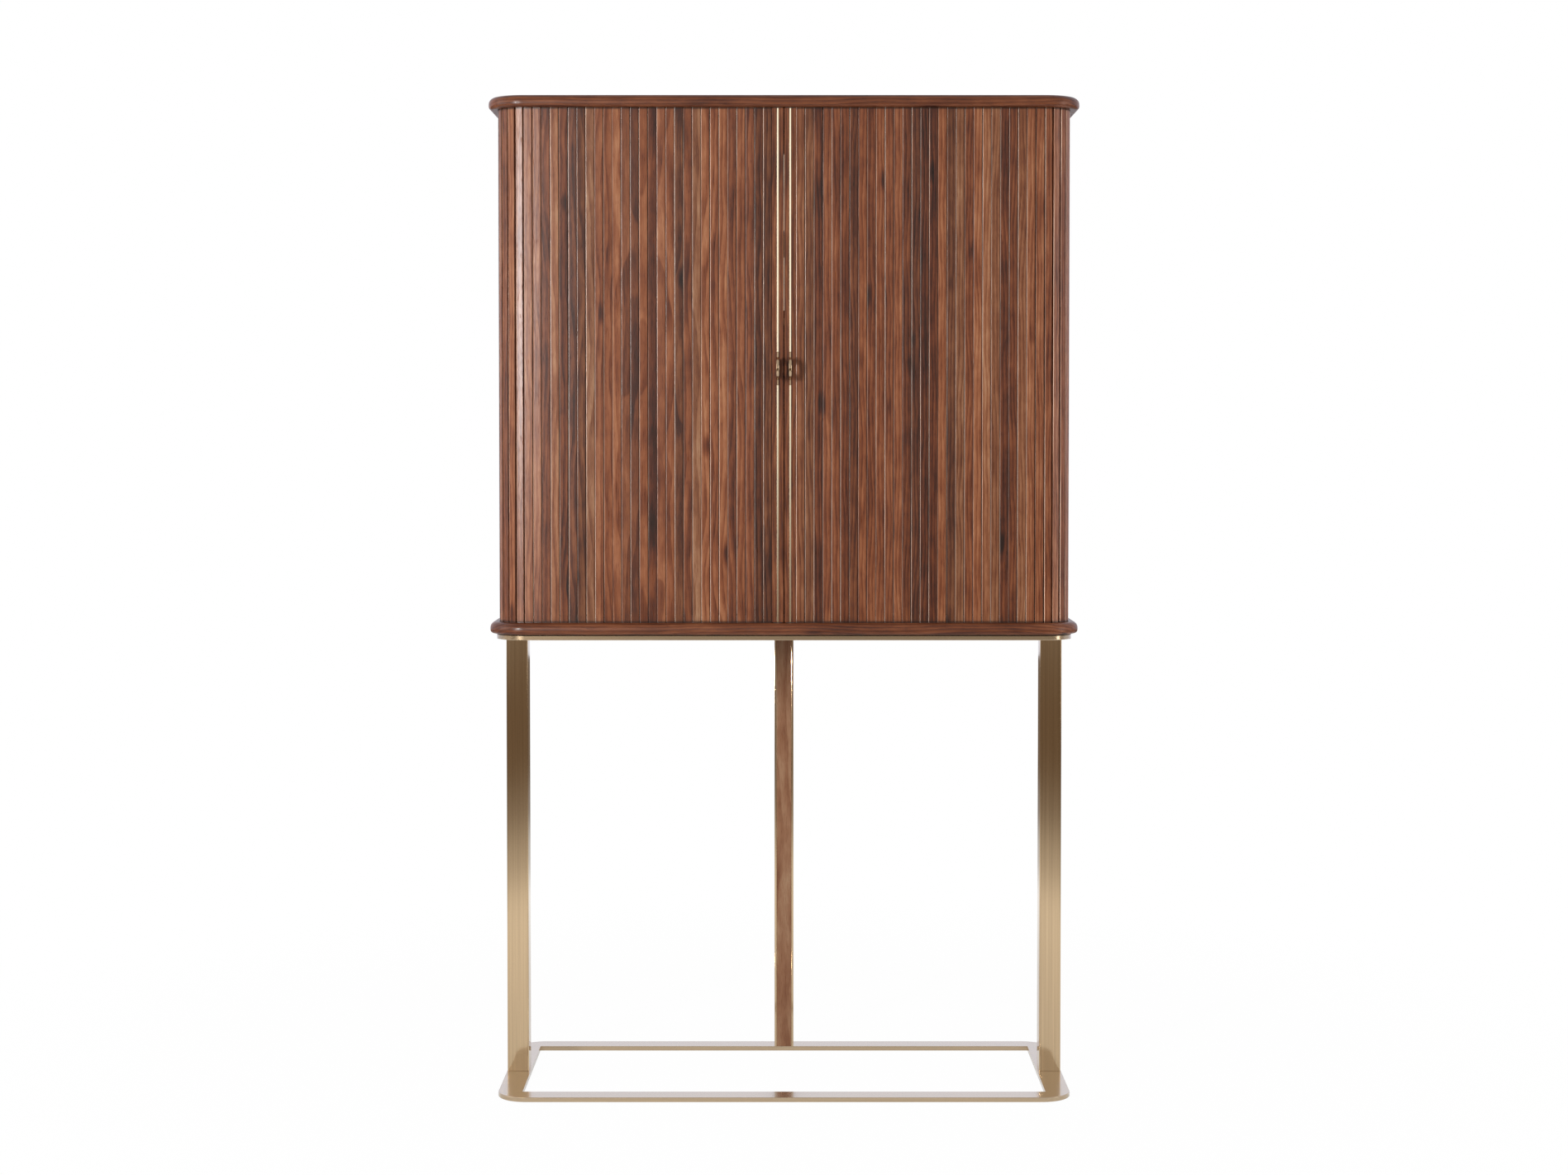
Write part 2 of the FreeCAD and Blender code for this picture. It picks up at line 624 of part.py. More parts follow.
mirror = box(("2 * (inner_half_width - mirror_margin)", "mirror_thick",
              "case_top - mid_shelf_top - 2 * mirror_margin"),
             ("-inner_half_width + mirror_margin", "inner_back_face - mirror_thick",
              "mid_shelf_top + mirror_margin"))
node(mirror, "mirror_panel")

upper_shelf = box(("2 * (inner_half_width - glass_side_gap)", f"{GLASS_BACK} + glass_front", "glass_thick"),
                  ("-inner_half_width + glass_side_gap", "-glass_front", GLASS_BASE))
node(upper_shelf, "upper_glass_shelf")
node(group(*upper_pins), "upper_shelf_pins")

divider = box(("divider_thick", "mid_shelf_depth", "mid_shelf_top - shelf_thick - case_base"),
              ("-divider_thick / 2", "-mid_shelf_front", "case_base"))
node(cut(divider, *lower_pins[2:]), "centre_divider")
lower_shelf = box(("inner_half_width - divider_thick / 2 - 2 * lower_shelf_gap",
                   "mid_shelf_depth - lower_shelf_gap", "shelf_thick"),
                  ("divider_thick / 2 + lower_shelf_gap", "-mid_shelf_front", LOWER_BASE))
node(lower_shelf, "lower_shelf")
node(group(*lower_pins), "lower_shelf_pins")


# ---------------------------------------------------------------------------
# Fold-out shelf: a flap that stands on the mid shelf's front edge and folds down level with it
# ---------------------------------------------------------------------------
HINGE_Y = "-mid_shelf_front"
HINGE_PLACES = [f"{step} * hinge_spacing - hinge_spacing * (hinge_count - 1) / 2"
                for step in range(int(value("hinge_count")))]
KNUCKLE_LENGTH = "(hinge_length - 2 * knuckle_gap) / 3"
KNUCKLE_STEP = f"({KNUCKLE_LENGTH} + knuckle_gap)"
LEAF_START = "knuckle_radius + knuckle_gap"


def knuckle(place, step):
    """One of a hinge's three knuckles, bored for the pin."""
    start = (f"{place} - hinge_length / 2 + {step} * {KNUCKLE_STEP}", HINGE_Y, "mid_shelf_top")
    barrel = cylinder("knuckle_radius", KNUCKLE_LENGTH, start, X_AXIS)
    return barrel, cylinder("hinge_pin_radius + pin_bore_play", KNUCKLE_LENGTH, start, X_AXIS)


def hinge_leaf(place, steps, plate_size, plate_corner, tab_size, tab_corner):
    """A leaf: a plate, and a tab and a knuckle at each of the chosen steps."""
    solids, bores = [box(plate_size, plate_corner)], []
    for step in steps:
        barrel, bore = knuckle(place, step)
        tab = box(tab_size, (f"{place} - hinge_length / 2 + {step} * {KNUCKLE_STEP}",) + tab_corner)
        solids += [barrel, tab]
        bores.append(bore)
    return cut(fuse(*solids), *bores)


def fixed_leaf(place):
    """The leaf let into the top of the mid shelf."""
    low = "mid_shelf_top - leaf_thick"
    return hinge_leaf(place, (0, 2), ("hinge_length", f"leaf_width - ({LEAF_START})", "leaf_thick"),
                      (f"{place} - hinge_length / 2", f"{HINGE_Y} + {LEAF_START}", low),
                      (KNUCKLE_LENGTH, LEAF_START, "leaf_thick"), (HINGE_Y, low))


def moving_leaf(place):
    """The leaf let into the inner face of the upright flap."""
    face = f"{HINGE_Y} - leaf_thick"
    return hinge_leaf(place, (1,), ("hinge_length", "leaf_thick", f"leaf_width - ({LEAF_START})"),
                      (f"{place} - hinge_length / 2", face, f"mid_shelf_top + {LEAF_START}"),
                      (KNUCKLE_LENGTH, "leaf_thick", LEAF_START), (face, "mid_shelf_top"))


def hinge_room(place, leaf_size, leaf_corner):
    """What a panel loses for one hinge: a round channel for the knuckles and a recess for the leaf."""
    channel_room = cylinder("knuckle_radius + knuckle_room", "hinge_length + 2 * knuckle_room",
                            (f"{place} - hinge_length / 2 - knuckle_room", HINGE_Y, "mid_shelf_top"), X_AXIS)
    return [channel_room, box(leaf_size, (f"{place} - hinge_length / 2",) + leaf_corner)]


shelf_room, flap_room = [], []
for place in HINGE_PLACES:
    shelf_room += hinge_room(place, ("hinge_length", "leaf_width", "leaf_thick"),
                             (HINGE_Y, "mid_shelf_top - leaf_thick"))
    flap_room += hinge_room(place, ("hinge_length", "leaf_thick", "leaf_width"),
                            (f"{HINGE_Y} - leaf_thick", "mid_shelf_top"))

mid_shelf = box(("2 * inner_half_width", "mid_shelf_depth", "shelf_thick"),
                ("-inner_half_width", HINGE_Y, "mid_shelf_top - shelf_thick"))
node(cut(mid_shelf, *shelf_room), "mid_shelf")
flap = box(("flap_length", "shelf_thick", "flap_depth - stop_gap"),
           ("-flap_length / 2", f"{HINGE_Y} - shelf_thick", "mid_shelf_top + stop_gap"))
node(cut(flap, *flap_room), "fold_out_shelf")
node(group(*[fixed_leaf(place) for place in HINGE_PLACES]), "shelf_hinge_leaves")
node(group(*[moving_leaf(place) for place in HINGE_PLACES]), "flap_hinge_leaves")
pins = [cylinder("hinge_pin_radius", "hinge_length", (f"{place} - hinge_length / 2", HINGE_Y, "mid_shelf_top"),
                 X_AXIS) for place in HINGE_PLACES]
node(group(*pins), "hinge_pins")

KNOB_Z = "mid_shelf_top + flap_depth - flap_knob_inset"
KNOB_FACE = f"{HINGE_Y} - shelf_thick"
stem = cylinder("flap_knob_radius / 2", "flap_knob_length", ("0", KNOB_FACE, KNOB_Z), -Y_AXIS)
head = cylinder("flap_knob_radius", "flap_knob_length / 3",
                ("0", f"{KNOB_FACE} - flap_knob_length * 2 / 3", KNOB_Z), -Y_AXIS)
node(fuse(stem, head), "flap_knob")


def flap_rest(side):
    """An angle screwed to the inner side, which carries the lowered flap's end."""
    top = "mid_shelf_top - shelf_thick - stop_gap"
    back = f"{HINGE_Y} - flap_depth / 3"
    reach = "inner_half_width - rest_leg" if side > 0 else "-inner_half_width"
    wall = "inner_half_width - rest_thick" if side > 0 else "-inner_half_width"
    shelf_leg = box(("rest_leg", "rest_length", "rest_thick"), (reach, f"{back} - rest_length", f"{top} - rest_thick"))
    wall_leg = box(("rest_thick", "rest_length", "rest_leg"), (wall, f"{back} - rest_length", f"{top} - rest_leg"))
    return fuse(shelf_leg, wall_leg)


def flap_catch(side):
    """A magnetic block that stops and holds the upright flap."""
    start = "inner_half_width - catch_width" if side > 0 else "-inner_half_width"
    return box(("catch_width", "catch_depth", "catch_length"),
               (start, f"{HINGE_Y} + stop_gap", "mid_shelf_top + flap_depth - 2 * catch_length"))


node(group(flap_rest(-1), flap_rest(1)), "flap_rests")
node(group(flap_catch(-1), flap_catch(1)), "flap_catches")


# ---------------------------------------------------------------------------
# Stemware rails
# ---------------------------------------------------------------------------
def stemware_rail(step):
    """A T-shaped rail under the top slab."""
    middle = f"({step} - (rail_count - 1) / 2) * rail_spacing"
    web = box(("rail_web", "rail_length", "rail_drop"),
              (f"{middle} - rail_web / 2", "-rail_length / 2", "case_top - rail_drop"))
    flange = box(("rail_flange", "rail_length", "rail_flange_thick"),
                 (f"{middle} - rail_flange / 2", "-rail_length / 2", "case_top - rail_drop"))
    return fuse(web, flange)


node(group(*[stemware_rail(step) for step in range(int(value("rail_count")))]), "stemware_rails")


# ---------------------------------------------------------------------------
# Check and export
# ---------------------------------------------------------------------------
doc.recompute()
for item in doc.Objects:
    if "Invalid" in item.State or "Error" in item.State:
        raise RuntimeError(f"{item.Label} did not compute: {item.State}")
for item in nodes:
    if item.Shape.isNull() or not item.Shape.isValid():
        raise RuntimeError(f"{item.Label} has no valid shape")
for item in nodes:
    item.Shape.exportStep(os.path.join("parts", f"{item.Label}.step"))
print(f"{len(nodes)} sub-parts written")
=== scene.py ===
"""Looks of the bar cabinet: a walnut tambour case with a fold-out shelf, on a satin brass frame."""

import logging
import math
from dataclasses import dataclass
from enum import Enum
from functools import cache, reduce
from typing import Callable, Sequence, Union

import bmesh
import bpy
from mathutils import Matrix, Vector


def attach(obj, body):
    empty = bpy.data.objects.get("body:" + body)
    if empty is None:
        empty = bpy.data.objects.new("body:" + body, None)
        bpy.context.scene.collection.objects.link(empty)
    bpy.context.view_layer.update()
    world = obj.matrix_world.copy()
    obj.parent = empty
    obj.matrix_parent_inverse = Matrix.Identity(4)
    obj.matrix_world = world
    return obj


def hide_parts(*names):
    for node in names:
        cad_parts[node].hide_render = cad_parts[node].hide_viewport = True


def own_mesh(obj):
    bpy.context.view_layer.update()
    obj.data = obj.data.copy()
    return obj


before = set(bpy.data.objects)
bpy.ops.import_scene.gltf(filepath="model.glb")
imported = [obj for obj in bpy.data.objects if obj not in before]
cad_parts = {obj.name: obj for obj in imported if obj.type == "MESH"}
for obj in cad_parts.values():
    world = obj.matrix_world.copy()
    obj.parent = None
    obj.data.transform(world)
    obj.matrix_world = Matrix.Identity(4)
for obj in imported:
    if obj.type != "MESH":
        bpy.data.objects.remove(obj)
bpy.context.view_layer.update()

logging.basicConfig(level=logging.INFO, format="%(name)s: %(message)s")
log = logging.getLogger("bar_cabinet")

MM = 0.001
Colour = tuple[float, float, float]
Point = tuple[float, float, float]
Spot = tuple[float, float]
Place = tuple[Point, Point]     # where a repeated part stands, and how it is turned about its axes
Socket = bpy.types.NodeSocket
Source = Union[Socket, float, int, str, tuple, bpy.types.Material]
WHITE: Colour = (1.0, 1.0, 1.0)


class Side(Enum):
    """The two hands of the cabinet, as the way that each lies along X."""

    LEFT = -1
    RIGHT = 1

    @property
    def word(self) -> str:
        """The hand's name in node and body names."""
        return self.name.lower()

    @property
    def place(self) -> int:
        """The hand's place in a pair of values, left first."""
        return (self.value + 1) // 2


class GrainRun(Enum):
    """Which way the fibres or the brush lines run; the value turns that axis upright."""

    UPRIGHT = (0.0, 0.0, 0.0)
    ACROSS = (0.0, math.pi / 2, 0.0)


# ---------------------------------------------------------------------------
# Node trees
# ---------------------------------------------------------------------------
class Bench:
    """A short way to lay out the nodes of one shader or geometry tree."""

    def __init__(self, tree: bpy.types.NodeTree) -> None:
        """Keep the tree that the nodes go in."""
        self.tree = tree

    def fill(self, node: bpy.types.Node, inputs: dict[str | int, Source]) -> None:
        """Set or link some of a node's sockets.

        Args:
            node: The node.
            inputs: For each socket's name or number, a value to set or a socket to link.
        """
        for name, value in inputs.items():
            if isinstance(value, Socket):
                self.tree.links.new(value, node.inputs[name])
            else:
                node.inputs[name].default_value = value

    def add(self, kind: str, inputs: dict[str | int, Source] | None = None, **settings: object
            ) -> bpy.types.Node:
        """Add a node.

        Args:
            kind: The node's type name in Blender.
            inputs: For each socket's name or number, a value to set or a socket to link.
            settings: Properties of the node itself.

        Returns:
            The node.
        """
        node = self.tree.nodes.new(kind)
        for name, value in settings.items():
            setattr(node, name, value)
        self.fill(node, inputs or {})
        return node

    def work(self, operation: str, *values: Source) -> Socket:
        """One step of arithmetic on numbers."""
        return self.add("ShaderNodeMath", dict(enumerate(values)), operation=operation).outputs[0]

    def times(self, first: Source, second: Source) -> Socket:
        """The product of two numbers."""
        return self.work("MULTIPLY", first, second)

    def sum_of(self, *parts: Source) -> Socket:
        """The sum of several numbers."""
        return reduce(lambda total, part: self.work("ADD", total, part), parts)

    def on_vector(self, operation: str, vector: Source, other: Source) -> Socket:
        """One step of arithmetic on vectors."""
        return self.add("ShaderNodeVectorMath", {0: vector, 1: other}, operation=operation).outputs[0]

    def stretch(self, vector: Source, scale: Point) -> Socket:
        """A vector scaled by its axes."""
        return self.on_vector("MULTIPLY", vector, scale)

    def grow(self, vector: Source, factor: Source) -> Socket:
        """A vector scaled alike along every axis."""
        return self.add("ShaderNodeVectorMath", {0: vector, 3: factor}, operation="SCALE").outputs[0]

    def axes(self, vector: Source) -> bpy.types.bpy_prop_collection:
        """A vector's three numbers, by the name of the axis."""
        return self.add("ShaderNodeSeparateXYZ", {0: vector}).outputs

    def along(self, **axes: Source) -> Socket:
        """A vector from its numbers, by the name of the axis."""
        return self.add("ShaderNodeCombineXYZ", axes).outputs[0]

    def noise(self, vector: Source, scale: Point, detail: float = 2.0, roughness: float = 0.5,
              output: str = "Fac") -> Socket:
        """Soft noise that is stretched by its axes, about 0.5.

        Args:
            vector: Where the noise is read.
            scale: How often it changes along each axis, per metre.
            detail: How many finer layers it has.
            roughness: How strong the finer layers are.
            output: "Fac" for one number, "Color" for three.

        Returns:
            The socket of the noise.
        """
        return self.add("ShaderNodeTexNoise", {"Vector": self.stretch(vector, scale), "Scale": 1.0,
                                               "Detail": detail, "Roughness": roughness}).outputs[output]

    def swing(self, value: Source, reach: float) -> Socket:
        """A value about 0.5 turned into one about 0 that reaches so far."""
        return self.times(self.work("SUBTRACT", value, 0.5), reach)

    def band(self, value: Source, low: float, high: float, to_low: float = 0.0, to_high: float = 1.0,
             smooth: bool = True) -> Socket:
        """A value carried from one range to another and held at its ends.

        Args:
            value: The number to carry over.
            low: Where the first range starts.
            high: Where the first range ends.
            to_low: What the start becomes.
            to_high: What the end becomes.
            smooth: Whether it eases in and out.

        Returns:
            The socket of the result.
        """
        return self.add("ShaderNodeMapRange", {"Value": value, "From Min": low, "From Max": high,
                                               "To Min": to_low, "To Max": to_high},
                        interpolation_type="SMOOTHSTEP" if smooth else "LINEAR").outputs["Result"]

    def ramp(self, value: Source, stops: Sequence[tuple[float, Colour]], smooth: bool = False) -> Socket:
        """A colour ramp.

        Args:
            value: What the ramp reads, from 0 to 1.
            stops: Places and colours.
            smooth: Whether the ramp eases between its stops.

        Returns:
            The colour socket.
        """
        node = self.add("ShaderNodeValToRGB", {"Fac": value})
        node.color_ramp.interpolation = "EASE" if smooth else "LINEAR"
        marks = node.color_ramp.elements
        while len(marks) < len(stops):
            marks.new(0.5)
        for mark, (place, colour) in zip(marks, stops):
            mark.position = place
            mark.color = (*colour, 1.0)
        return node.outputs["Color"]

    def blend(self, share: Source, first: Source, second: Source, mode: str = "MIX") -> Socket:
        """Two colours mixed by a share.

        Args:
            share: How much of the second colour there is.
            first: The colour at a share of 0.
            second: The colour at a share of 1.
            mode: How they are mixed.

        Returns:
            The colour socket.
        """
        pair = [(*colour, 1.0) if isinstance(colour, tuple) else colour for colour in (first, second)]
        return self.add("ShaderNodeMix", {0: share, 6: pair[0], 7: pair[1]}, data_type="RGBA",
                        blend_type=mode).outputs[2]

    def attribute(self, name: str, output: str = "Fac") -> Socket:
        """What a piece's mesh carries under a name."""
        return self.add("ShaderNodeAttribute", attribute_name=name).outputs[output]

    def bump(self, height: Socket, strength: float, distance: float) -> Socket:
        """A normal that follows a height."""
        return self.add("ShaderNodeBump", {"Strength": strength, "Distance": distance,
                                           "Height": height}).outputs["Normal"]

    def object_place(self, run: GrainRun = GrainRun.UPRIGHT, shift: Source | None = None) -> Socket:
        """Object coordinates turned so that the grain runs along Z.

        Args:
            run: The way that the grain runs on the object.
            shift: A vector to add, so that pieces differ.

        Returns:
            The vector socket.
        """
        place = self.add("ShaderNodeTexCoord").outputs["Object"]
        if shift is not None:
            place = self.on_vector("ADD", place, shift)
        if run is GrainRun.UPRIGHT:
            return place
        return self.add("ShaderNodeMapping", {"Vector": place, "Rotation": run.value}).outputs[0]

    def store(self, geometry: Socket, name: str, value: Socket, kind: str = "FLOAT",
              domain: str = "POINT") -> Socket:
        """A geometry that carries a value under a name."""
        inputs = {"Geometry": geometry, "Name": name, "Value": value}
        return self.add("GeometryNodeStoreNamedAttribute", inputs, data_type=kind, domain=domain).outputs[0]

    def join(self, *parts: Socket) -> Socket:
        """Put several geometries together.

        Args:
            parts: The sockets of the geometries.

        Returns:
            The socket of the whole.
        """
        joined = self.add("GeometryNodeJoinGeometry")
        for part in parts:
            self.tree.links.new(part, joined.inputs[0])
        return joined.outputs[0]


def shader_group(name: str, inputs: dict[str, str], outputs: dict[str, str]
                 ) -> tuple[Bench, bpy.types.bpy_prop_collection, bpy.types.Node]:
    """Start a shader node group.

    Args:
        name: The group's name.
        inputs: Names and kinds of the sockets that go in.
        outputs: Names and kinds of the sockets that come out.

    Returns:
        The group's bench, the sockets that it is given and its output node.
    """
    bench = Bench(bpy.data.node_groups.new(name, "ShaderNodeTree"))
    for way, sockets in (("INPUT", inputs), ("OUTPUT", outputs)):
        for label, kind in sockets.items():
            bench.tree.interface.new_socket(label, in_out=way, socket_type=f"NodeSocket{kind}")
    return bench, bench.add("NodeGroupInput").outputs, bench.add("NodeGroupOutput")


@cache
def walnut_figure() -> bpy.types.NodeTree:
    """Walnut with its fibres along Z: growth rings, streaks, fibres, pores and a rare knot.

    Returns:
        The group, which is built once.
    """
    b, given, out = shader_group(
        "walnut_figure", {"Vector": "Vector", "Tone": "Float", "Ash": "Float", "Contrast": "Float"},
        {"Color": "Color", "Roughness": "Float", "Height": "Float"})
    heart_x, heart_y, rings_per_metre = 0.21, 0.34, 170.0
    place = given["Vector"]
    drift = b.stretch(b.noise(place, (11.0, 11.0, 3.4), output="Color"), (0.026, 0.026, 0.0))
    bent = b.on_vector("ADD", place, drift)
    parts = b.axes(bent)
    across = b.work("POWER", b.work("ADD", parts["X"], heart_x), 2.0)
    deep = b.work("POWER", b.work("ADD", parts["Y"], heart_y), 2.0)
    year = b.work("FRACT", b.times(b.work("SQRT", b.work("ADD", across, deep)), rings_per_metre))
    late_wood = b.work("SUBTRACT", b.band(year, 0.15, 0.90), b.band(year, 0.92, 1.0))
    streaks = b.noise(bent, (110.0, 110.0, 5.0), 3.0)
    clouds = b.noise(bent, (26.0, 26.0, 10.0))
    fibres = b.noise(place, (900.0, 900.0, 22.0), 2.0, 0.6)
    ripple = b.noise(bent, (110.0, 110.0, 34.0), 1.0)
    pores = b.band(b.noise(place, (1900.0, 1900.0, 90.0), 0.0), 0.60, 0.74)
    knots = b.add("ShaderNodeTexVoronoi", {"Vector": b.stretch(place, (20.0, 20.0, 6.0)), "Scale": 1.0,
                                           "Randomness": 1.0})
    knot = b.band(knots.outputs["Distance"], 0.03, 0.17, 1.0, 0.0)
    figure = b.sum_of(b.swing(streaks, 0.32), b.swing(clouds, 0.56), b.swing(late_wood, -0.20),
                      b.swing(fibres, 0.38), b.swing(ripple, 0.28))
    lifted = b.sum_of(b.times(figure, given["Contrast"]), b.swing(given["Tone"], 0.40), 0.45,
                      b.times(knot, -0.34), b.times(pores, -0.13))
    brown = b.ramp(lifted, ((0.00, (0.012, 0.004, 0.002)), (0.22, (0.048, 0.012, 0.005)),
                            (0.44, (0.112, 0.031, 0.011)), (0.60, (0.166, 0.052, 0.020)),
                            (0.78, (0.240, 0.093, 0.041)), (1.00, (0.334, 0.166, 0.084))))
    ashen = b.blend(1.0, brown, (0.88, 1.08, 1.25), "MULTIPLY")
    b.fill(out, {"Color": b.blend(given["Ash"], brown, ashen),
                 "Roughness": b.sum_of(0.29, b.swing(fibres, 0.10), b.times(pores, 0.30)),
                 "Height": b.sum_of(b.swing(fibres, 0.5), b.times(pores, -0.10))})
    return b.tree


@cache
def brush_lines() -> bpy.types.NodeTree:
    """Fine lines along Z that a brush leaves in metal, with slow clouds of handling over them.

    Returns:
        The group, which is built once.
    """
    b, given, out = shader_group("brush_lines", {"Vector": "Vector", "Fineness": "Float"},
                                 {"Line": "Float", "Cloud": "Float"})
    fine = b.grow(given["Vector"], given["Fineness"])
    close = b.noise(fine, (1.0, 1.0, 0.004), 2.0, 0.6)
    wide = b.noise(fine, (0.22, 0.22, 0.0012), 1.0)
    b.fill(out, {"Line": b.times(b.work("ADD", close, wide), 0.5),
                 "Cloud": b.noise(given["Vector"], (9.0, 9.0, 5.0))})
    return b.tree


@cache
def plain_weave() -> bpy.types.NodeTree:
    """A plain weave on a UV map in metres: threads that pass over and under each other.

    Returns:
        The group, which is built once.
    """
    b, given, out = shader_group("plain_weave", {"Vector": "Vector", "Threads": "Float"},
                                 {"Thread": "Float", "Fuzz": "Float"})
    laid = b.grow(given["Vector"], given["Threads"])
    part = b.axes(laid)
    warp, weft = (b.work("SINE", b.times(part[axis], math.pi)) for axis in "XY")
    b.fill(out, {"Thread": b.band(b.times(warp, weft), -1.0, 1.0), "Fuzz": b.noise(laid, (3.0, 3.0, 3.0))})
    return b.tree


# ---------------------------------------------------------------------------
# Finishes
# ---------------------------------------------------------------------------
@dataclass(frozen=True)
class Finish:
    """A finish: a material of one Principled shader, and a slot name that is kept with it."""

    name: str
    slot: str

    @cache
    def build(self) -> bpy.types.Material:
        """Make the material, the first time that it is asked for.

        Returns:
            The material.
        """
        material = bpy.data.materials.new(self.name)
        material.use_nodes = True
        bench = Bench(material.node_tree)
        bench.fill(material.node_tree.nodes["Principled BSDF"], self.skin(bench))
        return material

    def skin(self, b: Bench) -> dict[str, Source]:
        """What the shader's sockets hold, laid out on the material's bench."""
        raise NotImplementedError


@dataclass(frozen=True)
class WalnutFinish(Finish):
    """Oiled walnut with a satin surface; a slat has a tone and a shift of its own, a painted highlight on one
    long edge and painted shade on the other and at its ends.
    """

    run: GrainRun = GrainRun.UPRIGHT
    tone: float = 0.5
    ash: float = 0.25
    contrast: float = 1.0
    per_slat: bool = False
    shift: Point = (0.0, 0.0, 0.0)
    slat_shift_reach: Point = (0.010, 0.06, 0.22)
    # painted shade: the colour put in the gaps beside each slat's right edge and on the slats beside the
    # slabs
    painted_shade_colour: Colour = (0.012, 0.006, 0.004)
    # painted highlight: the colour put on each slat's left edge, where the light from the left catches it
    painted_highlight_colour: Colour = (0.72, 0.50, 0.38)
    # heights of the painted shadow on the slats just above the bottom slab and just under the top slab, and
    # its strength
    foot_shadow_heights: Spot = (814.5 * MM, 819.0 * MM)
    head_shadow_heights: Spot = (1675.5 * MM, 1679.5 * MM)
    slab_shadow_depth: float = 0.80

    def skin(self, b: Bench) -> dict[str, Source]:
        """The figure's colour, roughness and grain, with a painted highlight and painted shade on the edges
        of slats.

        Args:
            b: The material's bench.

        Returns:
            What the shader's sockets hold.
        """
        figure =b.add("ShaderNodeGroup", node_tree=walnut_figure())
        colour, rough = figure.outputs["Color"], figure.outputs["Roughness"]
        shift: Source = self.shift
        looks: dict[str, Source] = {"Tone": self.tone, "Contrast": self.contrast, "Ash": self.ash}
        if self.per_slat:
            own = b.attribute("slat_shift", "Vector")
            shift = b.stretch(own, self.slat_shift_reach)
            looks |= {"Tone": b.attribute("slat_tone"), "Ash": b.band(b.axes(own)["Y"], 0.55, 0.95, 0.0, 0.9)}
            colour, worn = self._edge_highlight_and_shade(b, colour, own)
            rough = b.work("ADD", rough, worn)
        b.fill(figure, {"Vector": b.object_place(self.run, shift)} | looks)
        return {"Base Color": colour, "Roughness": rough, "Specular IOR Level": 0.29,
                "Normal": b.bump(figure.outputs["Height"], 0.22, 0.3 * MM)}

    def _edge_highlight_and_shade(self, b: Bench, wood: Socket, own: Socket) -> tuple[Socket, Socket]:
        """The wood with a painted highlight in runs on a slat's left-facing long edge, and painted shade on
        its other long edge and at its ends by the slabs.

        Args:
            b: The material's bench.
            wood: The colour of the figure.
            own: The slat's own random vector.

        Returns:
            The colour socket, and how much rougher the edges of some slats are.
        """
        edge = b.attribute("slat_edge")
        chance = b.axes(own)
        runs = b.noise(b.object_place(shift=b.stretch(own, (7.0, 9.0, 5.0))), (0.5, 0.5, 3.2), 1.0)
        # painted highlight on the left-facing edge, in runs, stronger on some slats
        light = b.times(b.times(b.band(edge, 0.13, 0.36), b.band(runs, 0.38, 0.58, 0.25, 1.0)),
                        b.band(chance["Z"], 0.10, 0.80, 0.25, 1.0))
        # painted shade on the right-facing edge, in the gap to the next slat
        gap_shade_mask = b.times(b.band(edge, -0.34, -0.06, 1.0, 0.0), b.band(chance["X"], 0.05, 0.70, 0.35, 1.0))
        worn = b.times(b.band(b.work("ABSOLUTE", edge), 0.02, 0.10),
                       b.band(chance["Y"], 0.15, 0.60, 0.34, 0.0))
        # painted shadow on the slats just above the bottom slab and just under the top slab
        up = b.axes(b.object_place())["Z"]
        slab_shadow_mask = b.work("MAXIMUM", b.band(up, *self.foot_shadow_heights, self.slab_shadow_depth, 0.0),
                       b.band(up, *self.head_shadow_heights, 0.0, self.slab_shadow_depth))
        return b.blend(b.work("MAXIMUM", gap_shade_mask, slab_shadow_mask), b.blend(light, wood, self.painted_highlight_colour), self.painted_shade_colour), worn


@dataclass(frozen=True)
class BrassFinish(Finish):
    """Brass, satin brushed or polished; some of it lies under a clear coat."""

    run: GrainRun = GrainRun.UPRIGHT
    colour: Colour = (0.61, 0.450, 0.278)
    roughness: float = 0.095
    depth: float = 0.25
    fineness: float = 1600.0
    coat: float = 0.0
    dull_share: float = 0.90
    bright_share: float = 1.08

    def skin(self, b: Bench) -> dict[str, Source]:
        """Brush lines in the colour, the roughness and the surface, with clouds of handling.

        Args:
            b: The material's bench.

        Returns:
            What the shader's sockets hold.
        """
        lines = b.add("ShaderNodeGroup", {"Vector": b.object_place(self.run), "Fineness": self.fineness},
                      node_tree=brush_lines()).outputs
        dull = tuple(part * self.dull_share for part in self.colour)
        bright = tuple(min(1.0, part * self.bright_share) for part in self.colour)
        unevenness = (b.swing(lines["Line"], 0.03), b.swing(lines["Cloud"], 0.03))
        return {"Base Color": b.blend(b.band(lines["Line"], 0.30, 0.70), dull, bright),
                "Roughness": b.sum_of(self.roughness, *unevenness),
                "Normal": b.bump(lines["Line"], self.depth, 0.04 * MM),
                "Metallic": 1.0, "Coat Weight": self.coat, "Coat Roughness": 0.08}


@dataclass(frozen=True)
class CanvasFinish(Finish):
    """Dark cotton canvas glued behind the slats."""

    thread: Colour = (0.060, 0.045, 0.034)
    hollow: Colour = (0.018, 0.013, 0.010)
    fuzz: Colour = (0.09, 0.07, 0.055)
    threads_per_metre: float = 900.0

    def skin(self, b: Bench) -> dict[str, Source]:
        """A weave with fuzz on its threads.

        Args:
            b: The material's bench.

        Returns:
            What the shader's sockets hold.
        """
        laid = b.add("ShaderNodeUVMap", uv_map="cloth").outputs["UV"]
        weave = b.add("ShaderNodeGroup", {"Vector": laid, "Threads": self.threads_per_metre},
                      node_tree=plain_weave()).outputs
        tint = b.blend(weave["Thread"], self.hollow, self.thread)
        return {"Base Color": b.blend(b.band(weave["Fuzz"], 0.3, 0.8, 0.0, 0.4), tint, self.fuzz),
                "Normal": b.bump(weave["Thread"], 0.6, 0.3 * MM), "Roughness": 0.92, "Sheen Weight": 0.2}


